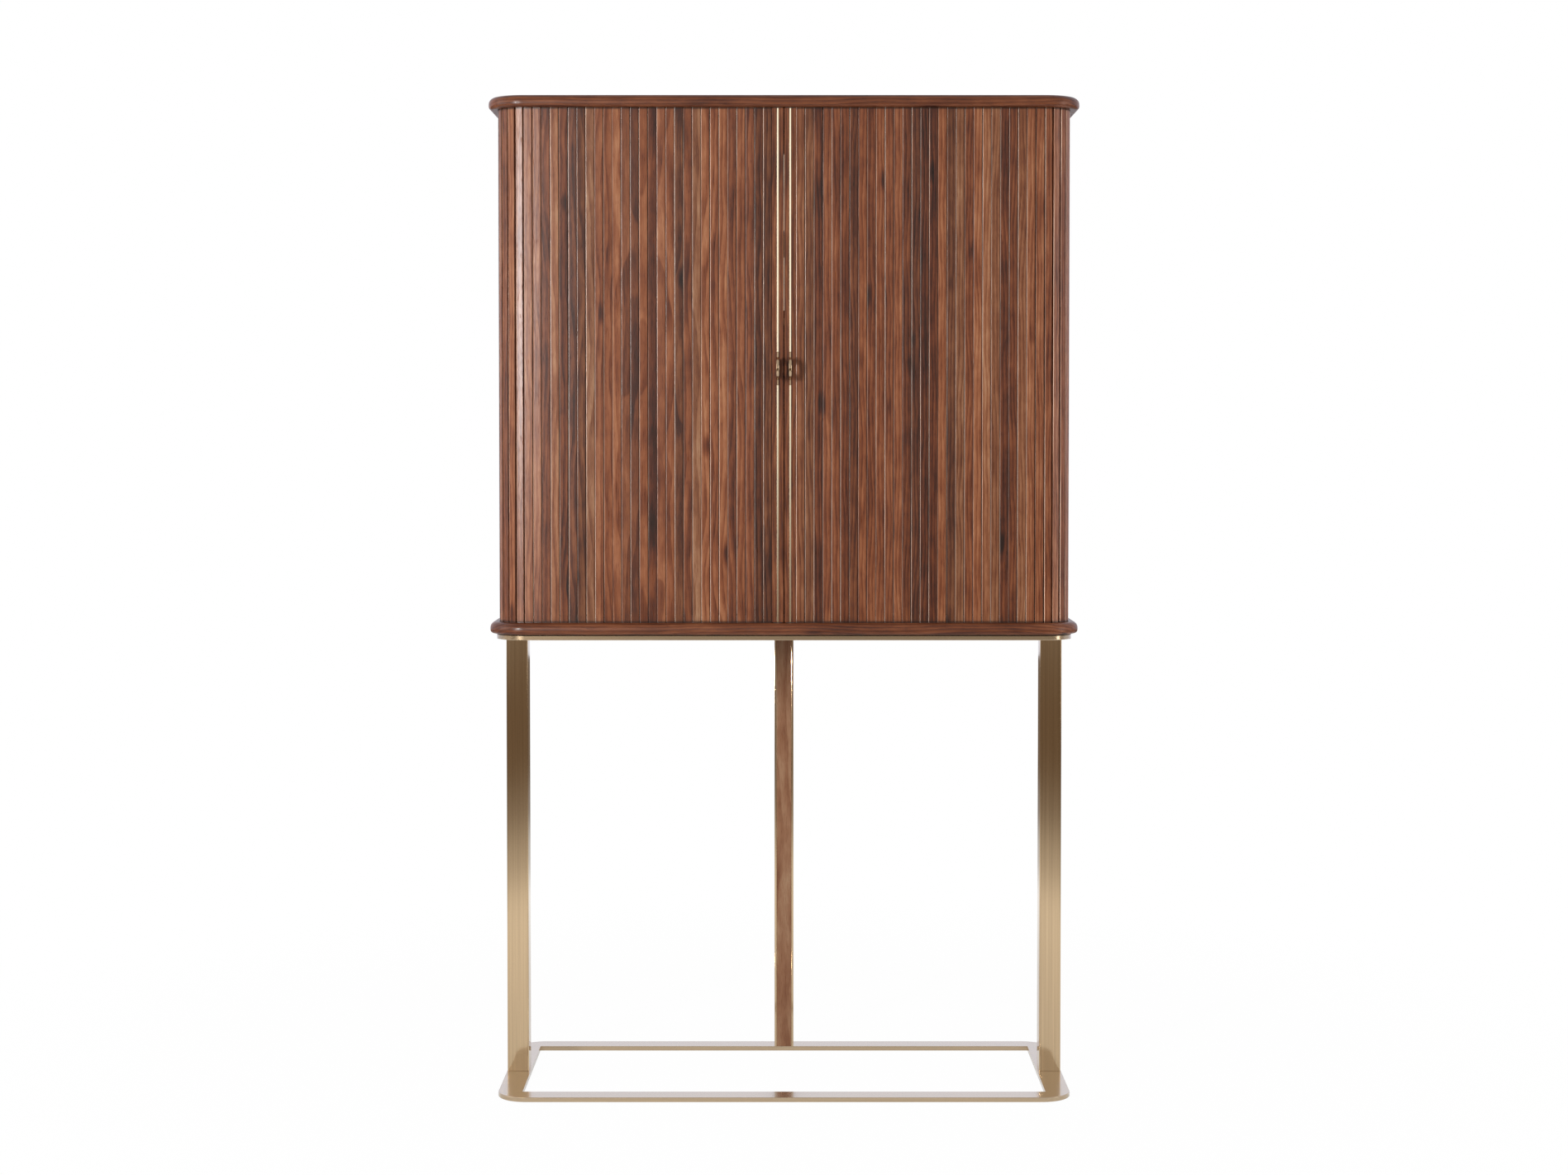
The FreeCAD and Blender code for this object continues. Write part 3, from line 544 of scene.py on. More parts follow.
@dataclass(frozen=True)
class GlassFinish(Finish):
    """Smoked glass with faint wipe marks."""

    tint: Colour = (0.46, 0.40, 0.36)
    marked_share: float = 0.92

    def skin(self, b: Bench) -> dict[str, Source]:
        """Clear glass that the marks make a little rougher and darker.

        Args:
            b: The material's bench.

        Returns:
            What the shader's sockets hold.
        """
        marks = b.noise(b.object_place(), (22.0, 9.0, 22.0), 3.0, 0.6)
        darker = tuple(part * self.marked_share for part in self.tint)
        return {"Roughness": b.band(marks, 0.45, 0.85, 0.015, 0.07),
                "Base Color": b.blend(b.band(marks, 0.2, 0.8), self.tint, darker),
                "Transmission Weight": 1.0, "IOR": 1.52}


@dataclass(frozen=True)
class MirrorFinish(Finish):
    """Bronze mirror with a trace of age."""

    tint: Colour = (0.52, 0.41, 0.31)
    aged: Colour = (0.34, 0.27, 0.21)

    def skin(self, b: Bench) -> dict[str, Source]:
        """A smooth metal that is darker and duller where it has aged.

        Args:
            b: The material's bench.

        Returns:
            What the shader's sockets hold.
        """
        age = b.noise(b.object_place(), (6.0, 6.0, 6.0), 4.0, 0.6)
        return {"Base Color": b.blend(b.band(age, 0.55, 0.8, 0.0, 0.6), self.tint, self.aged),
                "Roughness": b.band(age, 0.5, 0.9, 0.02, 0.12), "Metallic": 1.0}


@dataclass(frozen=True)
class MouldedFinish(Finish):
    """A plain moulded or turned part: rubber, nylon or zinc-plated steel."""

    colour: Colour
    roughness: float
    metallic: float = 0.0
    speck: float = 0.25

    def skin(self, b: Bench) -> dict[str, Source]:
        """One colour with soft clouds in it and a fine grain.

        Args:
            b: The material's bench.

        Returns:
            What the shader's sockets hold.
        """
        place = b.object_place()
        grain = b.noise(place, (1400.0, 1400.0, 1400.0), 2.0, 0.6)
        cloud = b.noise(place, (60.0, 60.0, 60.0))
        dark = tuple(part * (1.0 - self.speck) for part in self.colour)
        return {"Base Color": b.blend(b.band(cloud, 0.3, 0.7), dark, self.colour),
                "Roughness": b.sum_of(self.roughness, b.swing(grain, 0.14)),
                "Normal": b.bump(grain, 0.25, 0.1 * MM), "Metallic": self.metallic}


class Look(Enum):
    """Every finish of the cabinet; each material is made when it is first asked for."""

    SLAT = WalnutFinish("walnut_slats", "walnut_slat", per_slat=True)
    STILE = WalnutFinish("walnut_stiles", "walnut_slat", shift=(0.31, 0.12, 0.55))
    SLAB = WalnutFinish("walnut_slabs", "walnut_slab", GrainRun.ACROSS, tone=0.42, contrast=0.80,
                        shift=(0.4, 0.23, 0.11))
    POST = WalnutFinish("walnut_post", "walnut_slab", tone=1.30, ash=1.0, contrast=0.7,
                        shift=(0.07, 0.41, 0.2))
    PANEL = WalnutFinish("walnut_panels", "walnut_panel", tone=0.56, contrast=0.75, shift=(0.9, 0.6, 0.3))
    SHELF = WalnutFinish("walnut_shelves", "walnut_panel", GrainRun.ACROSS, tone=0.56, contrast=0.75,
                         shift=(0.2, 0.8, 0.5))
    LEG = BrassFinish("brass_upright", "brushed_brass")
    PLATE = BrassFinish("brass_plates", "brushed_brass", GrainRun.ACROSS, colour=(0.52, 0.388, 0.245),
                        roughness=0.22, coat=1.0)
    FITTING = BrassFinish("brass_fittings", "brushed_brass", roughness=0.17, fineness=2600.0)
    # The strips' polished brass is lifted to full reflectance and beyond in red: painted highlight, so that
    # the thin strips read brighter.
    STRIP = BrassFinish("brass_strips", "polished_brass", colour=(1.08, 0.885, 0.640), roughness=0.08,
                        depth=0.34)
    # The pulls take the same polished brass much darker: painted shade and painted dark reflection, for the
    # shade about them and the dark surroundings that they reflect.
    PULL = BrassFinish("brass_pulls", "polished_brass", colour=(0.50, 0.365, 0.235), roughness=0.13,
                       depth=0.15)
    CANVAS = CanvasFinish("umber_canvas", "canvas")
    GLASS = GlassFinish("smoked_glass", "smoked_glass")
    MIRROR = MirrorFinish("bronze_mirror", "bronze_mirror")
    RUBBER = MouldedFinish("gasket_rubber", "gasket_rubber", (0.020, 0.019, 0.018), 0.72)
    STEEL = MouldedFinish("plated_steel", "steel", (0.56, 0.55, 0.53), 0.30, 1.0, 0.12)
    NYLON = MouldedFinish("black_nylon", "nylon", (0.035, 0.033, 0.031), 0.48)

    @property
    def material(self) -> bpy.types.Material:
        """The finish's one material."""
        return self.value.build()


# ---------------------------------------------------------------------------
# Mesh work
# ---------------------------------------------------------------------------
SMOOTH_BELOW = math.radians(14.0)   # edges that bend less are shaded smooth
EDGE_ABOVE = math.radians(35.0)     # edges of the CAD that bend more are sharp ones
FLAT_BELOW = 0.01                   # faces of the CAD that bend less, in radians, are one
CAD_WELD = 1e-6                     # corners of the CAD this near are one, in metres
WELD = 1e-7                         # and corners of a worked mesh
EASE_FULLNESS = 0.6


def as_piece(name: str, mesh: bpy.types.Mesh, material: bpy.types.Material) -> bpy.types.Object:
    """Put a mesh in the scene as a piece in one finish.

    Args:
        name: The piece's name.
        mesh: The mesh.
        material: The only material that it keeps.

    Returns:
        The piece.
    """
    mesh.name = name
    mesh.materials.clear()
    mesh.materials.append(material)
    piece = bpy.data.objects.new(name, mesh)
    bpy.context.scene.collection.objects.link(piece)
    return piece


def shade(bm: bmesh.types.BMesh) -> None:
    """Shade curved runs smooth, and keep flats, eased edges and corners crisp.

    Args:
        bm: The mesh, whose faces and edges are marked.
    """
    for face in bm.faces:
        face.smooth = True
    for edge in bm.edges:
        if len(edge.link_faces) != 2:
            edge.smooth = False
            continue
        flat = any(len(face.verts) > 4 for face in edge.link_faces)
        edge.smooth = edge.calc_face_angle(0.0) < SMOOTH_BELOW and not flat


def from_bmesh(name: str, bm: bmesh.types.BMesh, look: Look, closed: bool = True) -> bpy.types.Object:
    """Turn a worked mesh into a piece.

    Args:
        name: The piece's name.
        bm: The mesh, which is freed.
        look: The piece's finish.
        closed: Whether the mesh is a closed shell, so that its normals can be turned outwards.

    Returns:
        The piece.
    """
    bmesh.ops.remove_doubles(bm, verts=bm.verts, dist=WELD)
    if closed:
        bmesh.ops.recalc_face_normals(bm, faces=bm.faces)
    bm.normal_update()
    shade(bm)
    mesh = bpy.data.meshes.new(name)
    bm.to_mesh(mesh)
    bm.free()
    return as_piece(name, mesh, look.material)


def hand_over(piece: bpy.types.Object, body: str, slot: str, *nodes: str) -> None:
    """Let a piece ride on a body and stand for CAD nodes, which are hidden.

    Args:
        piece: The piece.
        body: The body that carries it.
        slot: The finish slot; not used.
        nodes: The CAD nodes that it stands for.
    """
    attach(piece, body)
    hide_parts(*nodes)
    log.info("%s: %d faces on %s", piece.name, len(piece.data.polygons), body)


def dress(look: Look, ease: float, *nodes: str, body: str = "case", facets: int = 2, slot: str = "",
          chosen: Callable[[bmesh.types.BMEdge], bool] = lambda edge: True) -> None:
    """Copy CAD nodes with their sharp edges eased, as sanding or polishing leaves them.

    Args:
        look: The finish of the copies.
        ease: How far the easing reaches, in metres.
        nodes: The names of the CAD nodes.
        body: The body that carries the copies.
        facets: Facets in each eased edge.
        slot: The finish slot, where it isn't the finish's own.
        chosen: Which of the sharp edges are eased.
    """
    for node in nodes:
        bm = bmesh.new()
        bm.from_mesh(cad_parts[node].data)
        bmesh.ops.remove_doubles(bm, verts=bm.verts, dist=CAD_WELD)
        bmesh.ops.dissolve_limit(bm, angle_limit=FLAT_BELOW, verts=bm.verts, edges=bm.edges)
        sharp = [edge for edge in bm.edges
                 if edge.is_manifold and edge.calc_face_angle(0.0) > EDGE_ABOVE and chosen(edge)]
        if ease > 0.0 and sharp:
            bmesh.ops.bevel(bm, geom=sharp, offset=ease, offset_type="OFFSET", segments=facets,
                            profile=EASE_FULLNESS, affect="EDGES", clamp_overlap=True)
        piece = from_bmesh(f"{node}_dressed", bm, look, closed=False)
        hand_over(piece, body, slot or look.value.slot, node)


def rounded_outline(half_x: float, half_y: float, radius: float, centre_y: float, steps: int) -> list[Spot]:
    """Points round a rectangle with rounded corners, anticlockwise.

    Args:
        half_x: Half the width.
        half_y: Half the depth.
        radius: The corner radius.
        centre_y: Where the middle lies along Y.
        steps: Steps in each corner.

    Returns:
        The points.
    """
    points = []
    for quarter, (way_x, way_y) in enumerate(((1, 1), (-1, 1), (-1, -1), (1, -1))):
        for step in range(steps + 1):
            angle = math.pi / 2 * (quarter + step / steps)
            points.append((way_x * (half_x - radius) + radius * math.cos(angle),
                           centre_y + way_y * (half_y - radius) + radius * math.sin(angle)))
    return points


def skin_between(bm: bmesh.types.BMesh, lower: Sequence, upper: Sequence) -> None:
    """Close the wall between two loops of as many points.

    Args:
        bm: The mesh that the wall goes in.
        lower: The points of one loop.
        upper: The points of the other.
    """
    for step, corner in enumerate(lower):
        following = (step + 1) % len(lower)
        bm.faces.new((corner, lower[following], upper[following], upper[step]))


class RepeatTree:
    """A geometry tree that makes one part from its sizes and sets it at every place of a guide."""

    sizes: Sequence[tuple[str, float]] = ()
    wobble: Point = (0.0, 0.0, 0.0)     # how far each part may turn about its axes, either way
    stray: Point = (0.0, 0.0, 0.0)      # how far each part may lie from its place, either way
    shift_salt, wobble_salt, stray_salt = 17, 31, 43

    def __init__(self, name: str) -> None:
        """Build the tree with a socket for each size.

        Args:
            name: The tree's name.
        """
        self.tree = bpy.data.node_groups.new(name, "GeometryNodeTree")
        face = self.tree.interface
        face.new_socket("Guide", in_out="INPUT", socket_type="NodeSocketGeometry")
        for label, size in self.sizes:
            face.new_socket(label, in_out="INPUT", socket_type="NodeSocketFloat").default_value = size
        face.new_socket("Seed", in_out="INPUT", socket_type="NodeSocketInt").default_value = 1
        face.new_socket("Finish", in_out="INPUT", socket_type="NodeSocketMaterial")
        face.new_socket("Geometry", in_out="OUTPUT", socket_type="NodeSocketGeometry")
        self.bench = Bench(self.tree)
        self.given = self.bench.add("NodeGroupInput").outputs
        self._lay_out()

    def part(self) -> Socket:
        """The geometry of one part about the origin."""
        raise NotImplementedError

    def _scatter(self, low: Point, high: Point, salt: int) -> Socket:
        """A random vector for each place.

        Args:
            low: The least that it can be along each axis.
            high: The most that it can be.
            salt: What its seed adds to the tree's.

        Returns:
            The vector socket.
        """
        return self.bench.add("FunctionNodeRandomValue", {
            0: low, 1: high, "ID": self.bench.add("GeometryNodeInputIndex").outputs[0],
            "Seed": self.bench.work("ADD", self.given["Seed"], salt)}, data_type="FLOAT_VECTOR").outputs[0]

    def _lay_out(self) -> None:
        """Instance the part on the guide, with a tone and a shift of its own for each."""
        b, given = self.bench, self.given
        tone = b.add("FunctionNodeRandomValue", {
            2: 0.0, 3: 1.0, "ID": b.add("GeometryNodeInputIndex").outputs[0], "Seed": given["Seed"]},
            data_type="FLOAT").outputs[1]
        shift = self._scatter((0.0, 0.0, 0.0), (1.0, 1.0, 1.0), self.shift_salt)
        sway, moved = (self._scatter(tuple(-part for part in reach), reach, salt) for reach, salt in
                       ((self.wobble, self.wobble_salt), (self.stray, self.stray_salt)))
        strewn = b.add("GeometryNodeSetPosition", {"Geometry": given["Guide"], "Offset": moved}).outputs[0]
        marked = b.store(b.store(strewn, "slat_tone", tone), "slat_shift", shift, "FLOAT_VECTOR")
        facing = b.add("GeometryNodeInputNamedAttribute", {"Name": "facing"}, data_type="FLOAT_VECTOR")
        turn = b.add("FunctionNodeEulerToRotation", {0: b.on_vector("ADD", facing.outputs[0], sway)})
        placed = b.add("GeometryNodeInstanceOnPoints", {"Points": marked, "Instance": self.part(),
                                                        "Rotation": turn.outputs[0]})
        real = b.add("GeometryNodeRealizeInstances", {0: placed.outputs[0]})
        dressed = b.add("GeometryNodeSetMaterial", {"Geometry": real.outputs[0], "Material": given["Finish"]})
        b.add("NodeGroupOutput", {"Geometry": dressed.outputs[0]})

    def make(self, name: str, places: Sequence[Place], look: Look, seed: int = 1, **sizes: float
             ) -> bpy.types.Object:
        """Set the part at every place and keep the result as a plain mesh.

        Args:
            name: The piece's name.
            places: Where the parts stand and how they are turned.
            look: The finish of every part.
            seed: The seed of the tones and shifts.
            sizes: Sizes that differ from the tree's own, with spaces written as underscores.

        Returns:
            The piece.
        """
        guide = bpy.data.meshes.new(f"{name}_guide")
        guide.from_pydata([point for point, _ in places], [], [])
        facing = guide.attributes.new("facing", "FLOAT_VECTOR", "POINT")
        facing.data.foreach_set("vector", [angle for _, turn in places for angle in turn])
        host = bpy.data.objects.new(guide.name, guide)
        bpy.context.scene.collection.objects.link(host)
        modifier = host.modifiers.new("repeat", "NODES")
        modifier.node_group = self.tree
        sockets = {item.name: item.identifier for item in self.tree.interface.items_tree
                   if item.in_out == "INPUT"}
        modifier[sockets["Seed"]] = seed
        modifier[sockets["Finish"]] = look.material
        for label, size in sizes.items():
            modifier[sockets[label.replace("_", " ").title()]] = size
        ready = host.evaluated_get(bpy.context.evaluated_depsgraph_get())
        mesh = bpy.data.meshes.new_from_object(ready)
        host.modifiers.remove(modifier)
        bpy.data.objects.remove(host)
        return as_piece(name, mesh, look.material)


class SlatTree(RepeatTree):
    """An upright slat: a flat face with softened edges, sides that draw in towards a narrower back.

    Slats lie a trace out of true about their length, and the gaps between them differ a little.
    """

    sizes = (("Face Width", 14.4 * MM), ("Back Width", 11.6 * MM), ("Depth", 8.0 * MM),
             ("Length", 876.0 * MM), ("Edge Width", 2.2 * MM), ("Edge Drop", 0.40 * MM))
    wobble = (0.0, 0.0, 0.026)
    stray = (0.20 * MM, 0.15 * MM, 0.0)
    edge_facets = 9
    front_facing = -0.3     # a face is on the front or its edges where its normal's Y is below this
    crisp_above = 0.35      # in radians

    def part(self) -> Socket:
        """One slat with its foot at the origin, its face towards -Y.

        Returns:
            The slat, whose faces carry how far the front's edges lean to the left.
        """
        b, given = self.bench, self.given
        squeeze = b.work("DIVIDE", given["Edge Drop"], given["Edge Width"])
        outline = b.add("GeometryNodeCurvePrimitiveQuadrilateral", {
            "Bottom Width": given["Face Width"], "Top Width": given["Back Width"],
            "Height": b.work("DIVIDE", given["Depth"], squeeze), "Offset": 0.0}, mode="TRAPEZOID")
        softened = b.add("GeometryNodeFilletCurve", {
            "Curve": outline.outputs[0], "Radius": given["Edge Width"], "Limit Radius": True,
            "Count": self.edge_facets}, mode="POLY")
        laid = b.add("GeometryNodeTransform", {
            "Geometry": softened.outputs[0], "Translation": b.along(Y=b.times(given["Depth"], 0.5)),
            "Scale": b.along(X=1.0, Y=squeeze, Z=1.0)})
        foot = b.add("GeometryNodeFillCurve", {"Curve": laid.outputs[0]}, mode="NGONS").outputs[0]
        raised = b.add("GeometryNodeExtrudeMesh", {
            "Mesh": foot, "Offset": b.along(Z=given["Length"]), "Offset Scale": 1.0,
            "Individual": False}, mode="FACES")
        turned = b.add("GeometryNodeFlipFaces", {"Mesh": foot})
        whole = b.add("GeometryNodeMergeByDistance", {
            "Geometry": b.join(raised.outputs[0], turned.outputs[0]), "Distance": CAD_WELD})
        facing = b.axes(b.add("GeometryNodeInputNormal").outputs[0])
        in_front = b.work("LESS_THAN", facing["Y"], self.front_facing)
        leftward = b.times(facing["X"], b.times(in_front, -1.0))
        marked = b.store(whole.outputs[0], "slat_edge", leftward, domain="FACE")
        smooth = b.add("GeometryNodeSetShadeSmooth", {"Geometry": marked, "Shade Smooth": True})
        bend = b.add("GeometryNodeInputMeshEdgeAngle").outputs["Unsigned Angle"]
        return b.add("GeometryNodeSetShadeSmooth", {
            "Geometry": smooth.outputs[0], "Shade Smooth": False,
            "Selection": b.work("GREATER_THAN", bend, self.crisp_above)}, domain="EDGE").outputs[0]


class ScrewTree(RepeatTree):
    """A countersunk screw that points up, with a hexagon socket in its head."""

    sizes = (("Head Radius", 6.0 * MM), ("Shank Radius", 3.0 * MM), ("Length", 26.0 * MM),
             ("Socket Radius", 2.6 * MM), ("Socket Depth", 1.8 * MM))
    sides = 24
    socket_sides = 6
    overlap = 0.999     # the shank starts just inside the head

    def _cone(self, low_radius: Socket, depth: Socket) -> Socket:
        """A cone that ends in the shank's radius.

        Args:
            low_radius: The radius that it starts with.
            depth: Its height.

        Returns:
            The socket of its mesh.
        """
        return self.bench.add("GeometryNodeMeshCone", {
            "Vertices": self.sides, "Radius Top": self.given["Shank Radius"], "Radius Bottom": low_radius,
            "Depth": depth}, fill_type="NGON").outputs["Mesh"]

    def part(self) -> Socket:
        """One screw with its head's face at the origin.

        Returns:
            The screw.
        """
        b, given = self.bench, self.given
        head_height = b.work("SUBTRACT", given["Head Radius"], given["Shank Radius"])
        shank = self._cone(given["Shank Radius"], b.work("SUBTRACT", given["Length"], head_height))
        lift = b.along(Z=b.times(head_height, self.overlap))
        raised = b.add("GeometryNodeTransform", {"Geometry": shank, "Translation": lift})
        cutter = b.add("GeometryNodeMeshCylinder", {
            "Vertices": self.socket_sides, "Radius": given["Socket Radius"],
            "Depth": b.times(given["Socket Depth"], 2.0)}, fill_type="NGON")
        head = b.add("GeometryNodeMeshBoolean", {
            0: self._cone(given["Head Radius"], head_height), 1: cutter.outputs["Mesh"]},
            operation="DIFFERENCE", solver="EXACT")
        return b.join(head.outputs[0], raised.outputs[0])


# ---------------------------------------------------------------------------
# The cabinet's sub-assemblies
# ---------------------------------------------------------------------------
@dataclass
class Assembly:
    """A sub-assembly of the cabinet, whose middle lies a little behind the origin."""

    middle_y: float = 11.45 * MM

    def build(self) -> None:
        """Make and hand over every piece."""
        raise NotImplementedError


@dataclass
class BrassFrame(Assembly):
    """Two ring plates, two tube legs and a rear post with a walnut inlay, held by countersunk screws."""

    frame_height: float = 792.5 * MM
    plate_thick: float = 8.0 * MM
    leg_x: float = 468.95 * MM
    post_y: float = 193.0 * MM
    screw_spacing: float = 22.0 * MM
    slab_screw_x: float = 330.0 * MM
    slab_screw_turn: float = 0.3
    plate_ease: float = 0.35 * MM
    leg_ease: float = 0.3 * MM
    channel_ease: float = 0.5 * MM
    inlay_ease: float = 0.4 * MM

    def build(self) -> None:
        """Make and hand over every piece."""
        dress(Look.PLATE, self.plate_ease, "base_frame", "top_frame", facets=1)
        dress(Look.LEG, self.leg_ease, "left_leg", "right_leg", facets=1)
        dress(Look.LEG, self.channel_ease, "rear_post_channel")
        dress(Look.POST, self.inlay_ease, "rear_post_inlay")
        dress(Look.STEEL, self.inlay_ease, "leg_plugs")
        dress(Look.RUBBER, 0.0, "slab_gasket")
        self._screws()

    def _screws(self) -> None:
        """Set the screws of the legs, the post and the bottom slab."""
        tree = ScrewTree("countersunk_screw")
        pair = (self.middle_y - self.screw_spacing / 2, self.middle_y + self.screw_spacing / 2)
        feet = [(side.value * self.leg_x, y) for side in Side for y in pair]
        feet += [(0.0, self.post_y + y) for y in pair]
        upward, hanging = (0.0, 0.0, 0.0), (math.pi, 0.0, 0.0)
        places = [((x, y, 0.0), upward) for x, y in feet]
        places += [((x, y, self.frame_height), hanging) for x, y in feet]
        hand_over(tree.make("frame_screws_dressed", places, Look.STEEL), "case", "steel", "frame_screws")
        low = self.frame_height - self.plate_thick
        places = [((side.value * self.slab_screw_x, self.middle_y + way * self.post_y, low),
                   (0.0, 0.0, self.slab_screw_turn)) for side in Side for way in (-1, 1)]
        hand_over(tree.make("slab_screws_dressed", places, Look.STEEL), "case", "steel", "slab_screws")


@dataclass
class WalnutSlabs(Assembly):
    """The slabs above and below the case, with a rounded nosing and the groove that guides the slats."""

    half_x: float = 500.0 * MM
    half_y: float = 225.0 * MM
    corner: float = 62.4 * MM
    thick: float = 20.0 * MM
    bottom_base: float = 794.0 * MM
    top_base: float = 1680.0 * MM
    round_top: float = 11.0 * MM
    round_low: float = 6.0 * MM
    groove_out: float = 15.2 * MM
    groove_in: float = 24.8 * MM
    groove_deep: float = 6.0 * MM
    corner_steps: int = 20
    arc_steps: int = 8

    def build(self) -> None:
        """Make and hand over every piece."""
        for name, base, grooved_top in (("bottom_slab", self.bottom_base, True),
                                        ("top_slab", self.top_base, False)):
            hand_over(self._slab(f"{name}_dressed", base, grooved_top), "case", "walnut_slab", name)

    def _slab(self, name: str, base: float, grooved_top: bool) -> bpy.types.Object:
        """One slab as closed loops round its edge and its groove.

        Args:
            name: The piece's name.
            base: The height of its underside.
            grooved_top: Whether the groove is in the top face, or in the underside.

        Returns:
            The piece.
        """
        top = base + self.thick
        face, floor = (top, top - self.groove_deep) if grooved_top else (base, base + self.groove_deep)
        groove = [(self.groove_in, face), (self.groove_in, floor), (self.groove_out, floor),
                  (self.groove_out, face)]
        angles = [math.pi / 2 * step / self.arc_steps for step in range(self.arc_steps + 1)]
        nosing = [(self.round_top * (1 - math.sin(angle)), top - self.round_top * (1 - math.cos(angle)))
                  for angle in angles]
        nosing += [(self.round_low * (1 - math.cos(angle)), base + self.round_low * (1 - math.sin(angle)))
                   for angle in angles]
        bm = bmesh.new()
        loops = []
        for inset, height in groove + nosing if grooved_top else nosing + groove[::-1]:
            outline = rounded_outline(self.half_x - inset, self.half_y - inset, self.corner - inset,
                                      self.middle_y, self.corner_steps)
            loops.append([bm.verts.new((x, y, height)) for x, y in outline])
        for upper, lower in zip(loops, loops[1:]):
            skin_between(bm, lower, upper)
        bm.faces.new(loops[0])
        bm.faces.new(loops[-1][::-1])
        return from_bmesh(name, bm, Look.SLAB)


@dataclass
class TambourCurtains(Assembly):
    """Slats on canvas: the moving fronts and the runs that wrap the corners and sides."""

    half_x: float = 484.0 * MM
    half_y: float = 209.0 * MM
    corner: float = 46.4 * MM
    first_x: float = 20.25 * MM
    fold_x: float = 407.79 * MM
    pitch: float = 14.905 * MM
    moving: int = 26
    fixed: int = 2
    per_corner: int = 5
    per_side: int = 22
    foot: float = 809.0 * MM
    slat_depth: float = 8.0 * MM
    entry_lean: float = math.radians(3.6)
    entry_lean_gain: float = 0.4
    corner_face: float = 12.0 * MM
    corner_back: float = 11.5 * MM
    corner_edge: float = 0.9 * MM
    canvas_thick: float = 0.8 * MM
    canvas_low: float = 826.0 * MM
    canvas_high: float = 1668.0 * MM
    canvas_rows: int = 12
    front_steps: int = 14
    bend_steps: int = 10
    side_steps: int = 8
    folded_share: float = 0.002
    front_seeds: tuple[int, int] = (364, 358)
    corner_seeds: tuple[int, int] = (14, 252)
    entry_seeds: tuple[int, int] = (337, 383)
    side_seeds: tuple[int, int] = (52, 54)
    rear_corner_seed: int = 5       # what a rear corner's seed adds to the front one's
    rear_entry_seed: int = 3        # and that of the straight slats before it

    def build(self) -> None:
        """Make and hand over every piece."""
        tree = SlatTree("tambour_slat")
        for side in Side:
            self._front(tree, side)
            self._wrap(tree, side)
            self._canvas(side)

    def _stand(self, side: Side, out: float, along: float, lean: float = 0.0, front: bool = True) -> Place:
        """The place of a slat.

        Args:
            side: Which hand.
            out: How far it stands from the middle along X.
            along: How far it stands from the case's middle along Y.
            lean: How far it is turned from facing straight to the front or the rear.
            front: Whether it belongs to the front or to the rear.

        Returns:
            Its foot and its turns.
        """
        turn = side.value * lean if front else math.pi - side.value * lean
        return (side.value * out, self.middle_y + along, self.foot), (0.0, 0.0, turn)

    def _fold(self, piece: bpy.types.Object, side: Side, y: float, z: float) -> None:
        """Give a piece a mesh of its own."""
        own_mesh(piece)

    def _front(self, tree: SlatTree, side: Side) -> None:
        """The moving slats of one door.

        Args:
            tree: The tree of a slat.
            side: Which hand.
        """
        start = self.pitch * (self.moving - 0.5) + self.first_x
        places = [self._stand(side, start - self.pitch * step, -self.half_y) for step in range(self.moving)]
        name = f"{side.word}_door_slats"
        piece = tree.make(f"{name}_dressed", places, Look.SLAT, seed=self.front_seeds[side.place])
        hand_over(piece, "case", "walnut_slat", name)
        self._fold(piece, side, self.middle_y - self.half_y, self.foot)

    def _wrap(self, tree: SlatTree, side: Side) -> None:
        """The slats round the two corners and along one side.

        Args:
            tree: The tree of a slat.
            side: Which hand.
        """
        centre_x, centre_y = self.half_x - self.corner, self.half_y - self.corner
        leans = [math.pi / 2 / self.per_corner * (place + 0.5) for place in range(self.per_corner)]
        for place, (word, front, way) in enumerate((("front", True, -1), ("rear", False, 1))):
            name = f"{side.word}_{word}_corner_slats"
            bend = [self._stand(side, centre_x + self.corner * math.sin(lean),
                                way * (centre_y + self.corner * math.cos(lean)), lean, front)
                    for lean in leans]
            seed = self.corner_seeds[side.place] + self.rear_corner_seed * place
            piece = tree.make(f"{name}_dressed", bend, Look.SLAT, seed, face_width=self.corner_face,
                              back_width=self.corner_back, edge_width=self.corner_edge,
                              edge_drop=self.corner_edge)
            hand_over(piece, "case", "walnut_slat", name)
            entry = [self._stand(side, self.fold_x + self.pitch * (step + 0.5), way * self.half_y,
                                 self.entry_lean * (1.0 + self.entry_lean_gain * step), front)
                     for step in range(self.fixed)]
            seed = self.entry_seeds[side.place] + self.rear_entry_seed * place
            piece = tree.make(f"{side.word}_{word}_entry_slats", entry, Look.SLAT, seed)
            hand_over(piece, "case", "walnut_slat", name)
        step = 2 * centre_y / self.per_side
        run = [self._stand(side, self.half_x, step * (place + 0.5) - centre_y, math.pi / 2)
               for place in range(self.per_side)]
        name = f"{side.word}_side_slats"
        hand_over(tree.make(f"{name}_dressed", run, Look.SLAT, seed=self.side_seeds[side.place]), "case",
                  "walnut_slat", name)

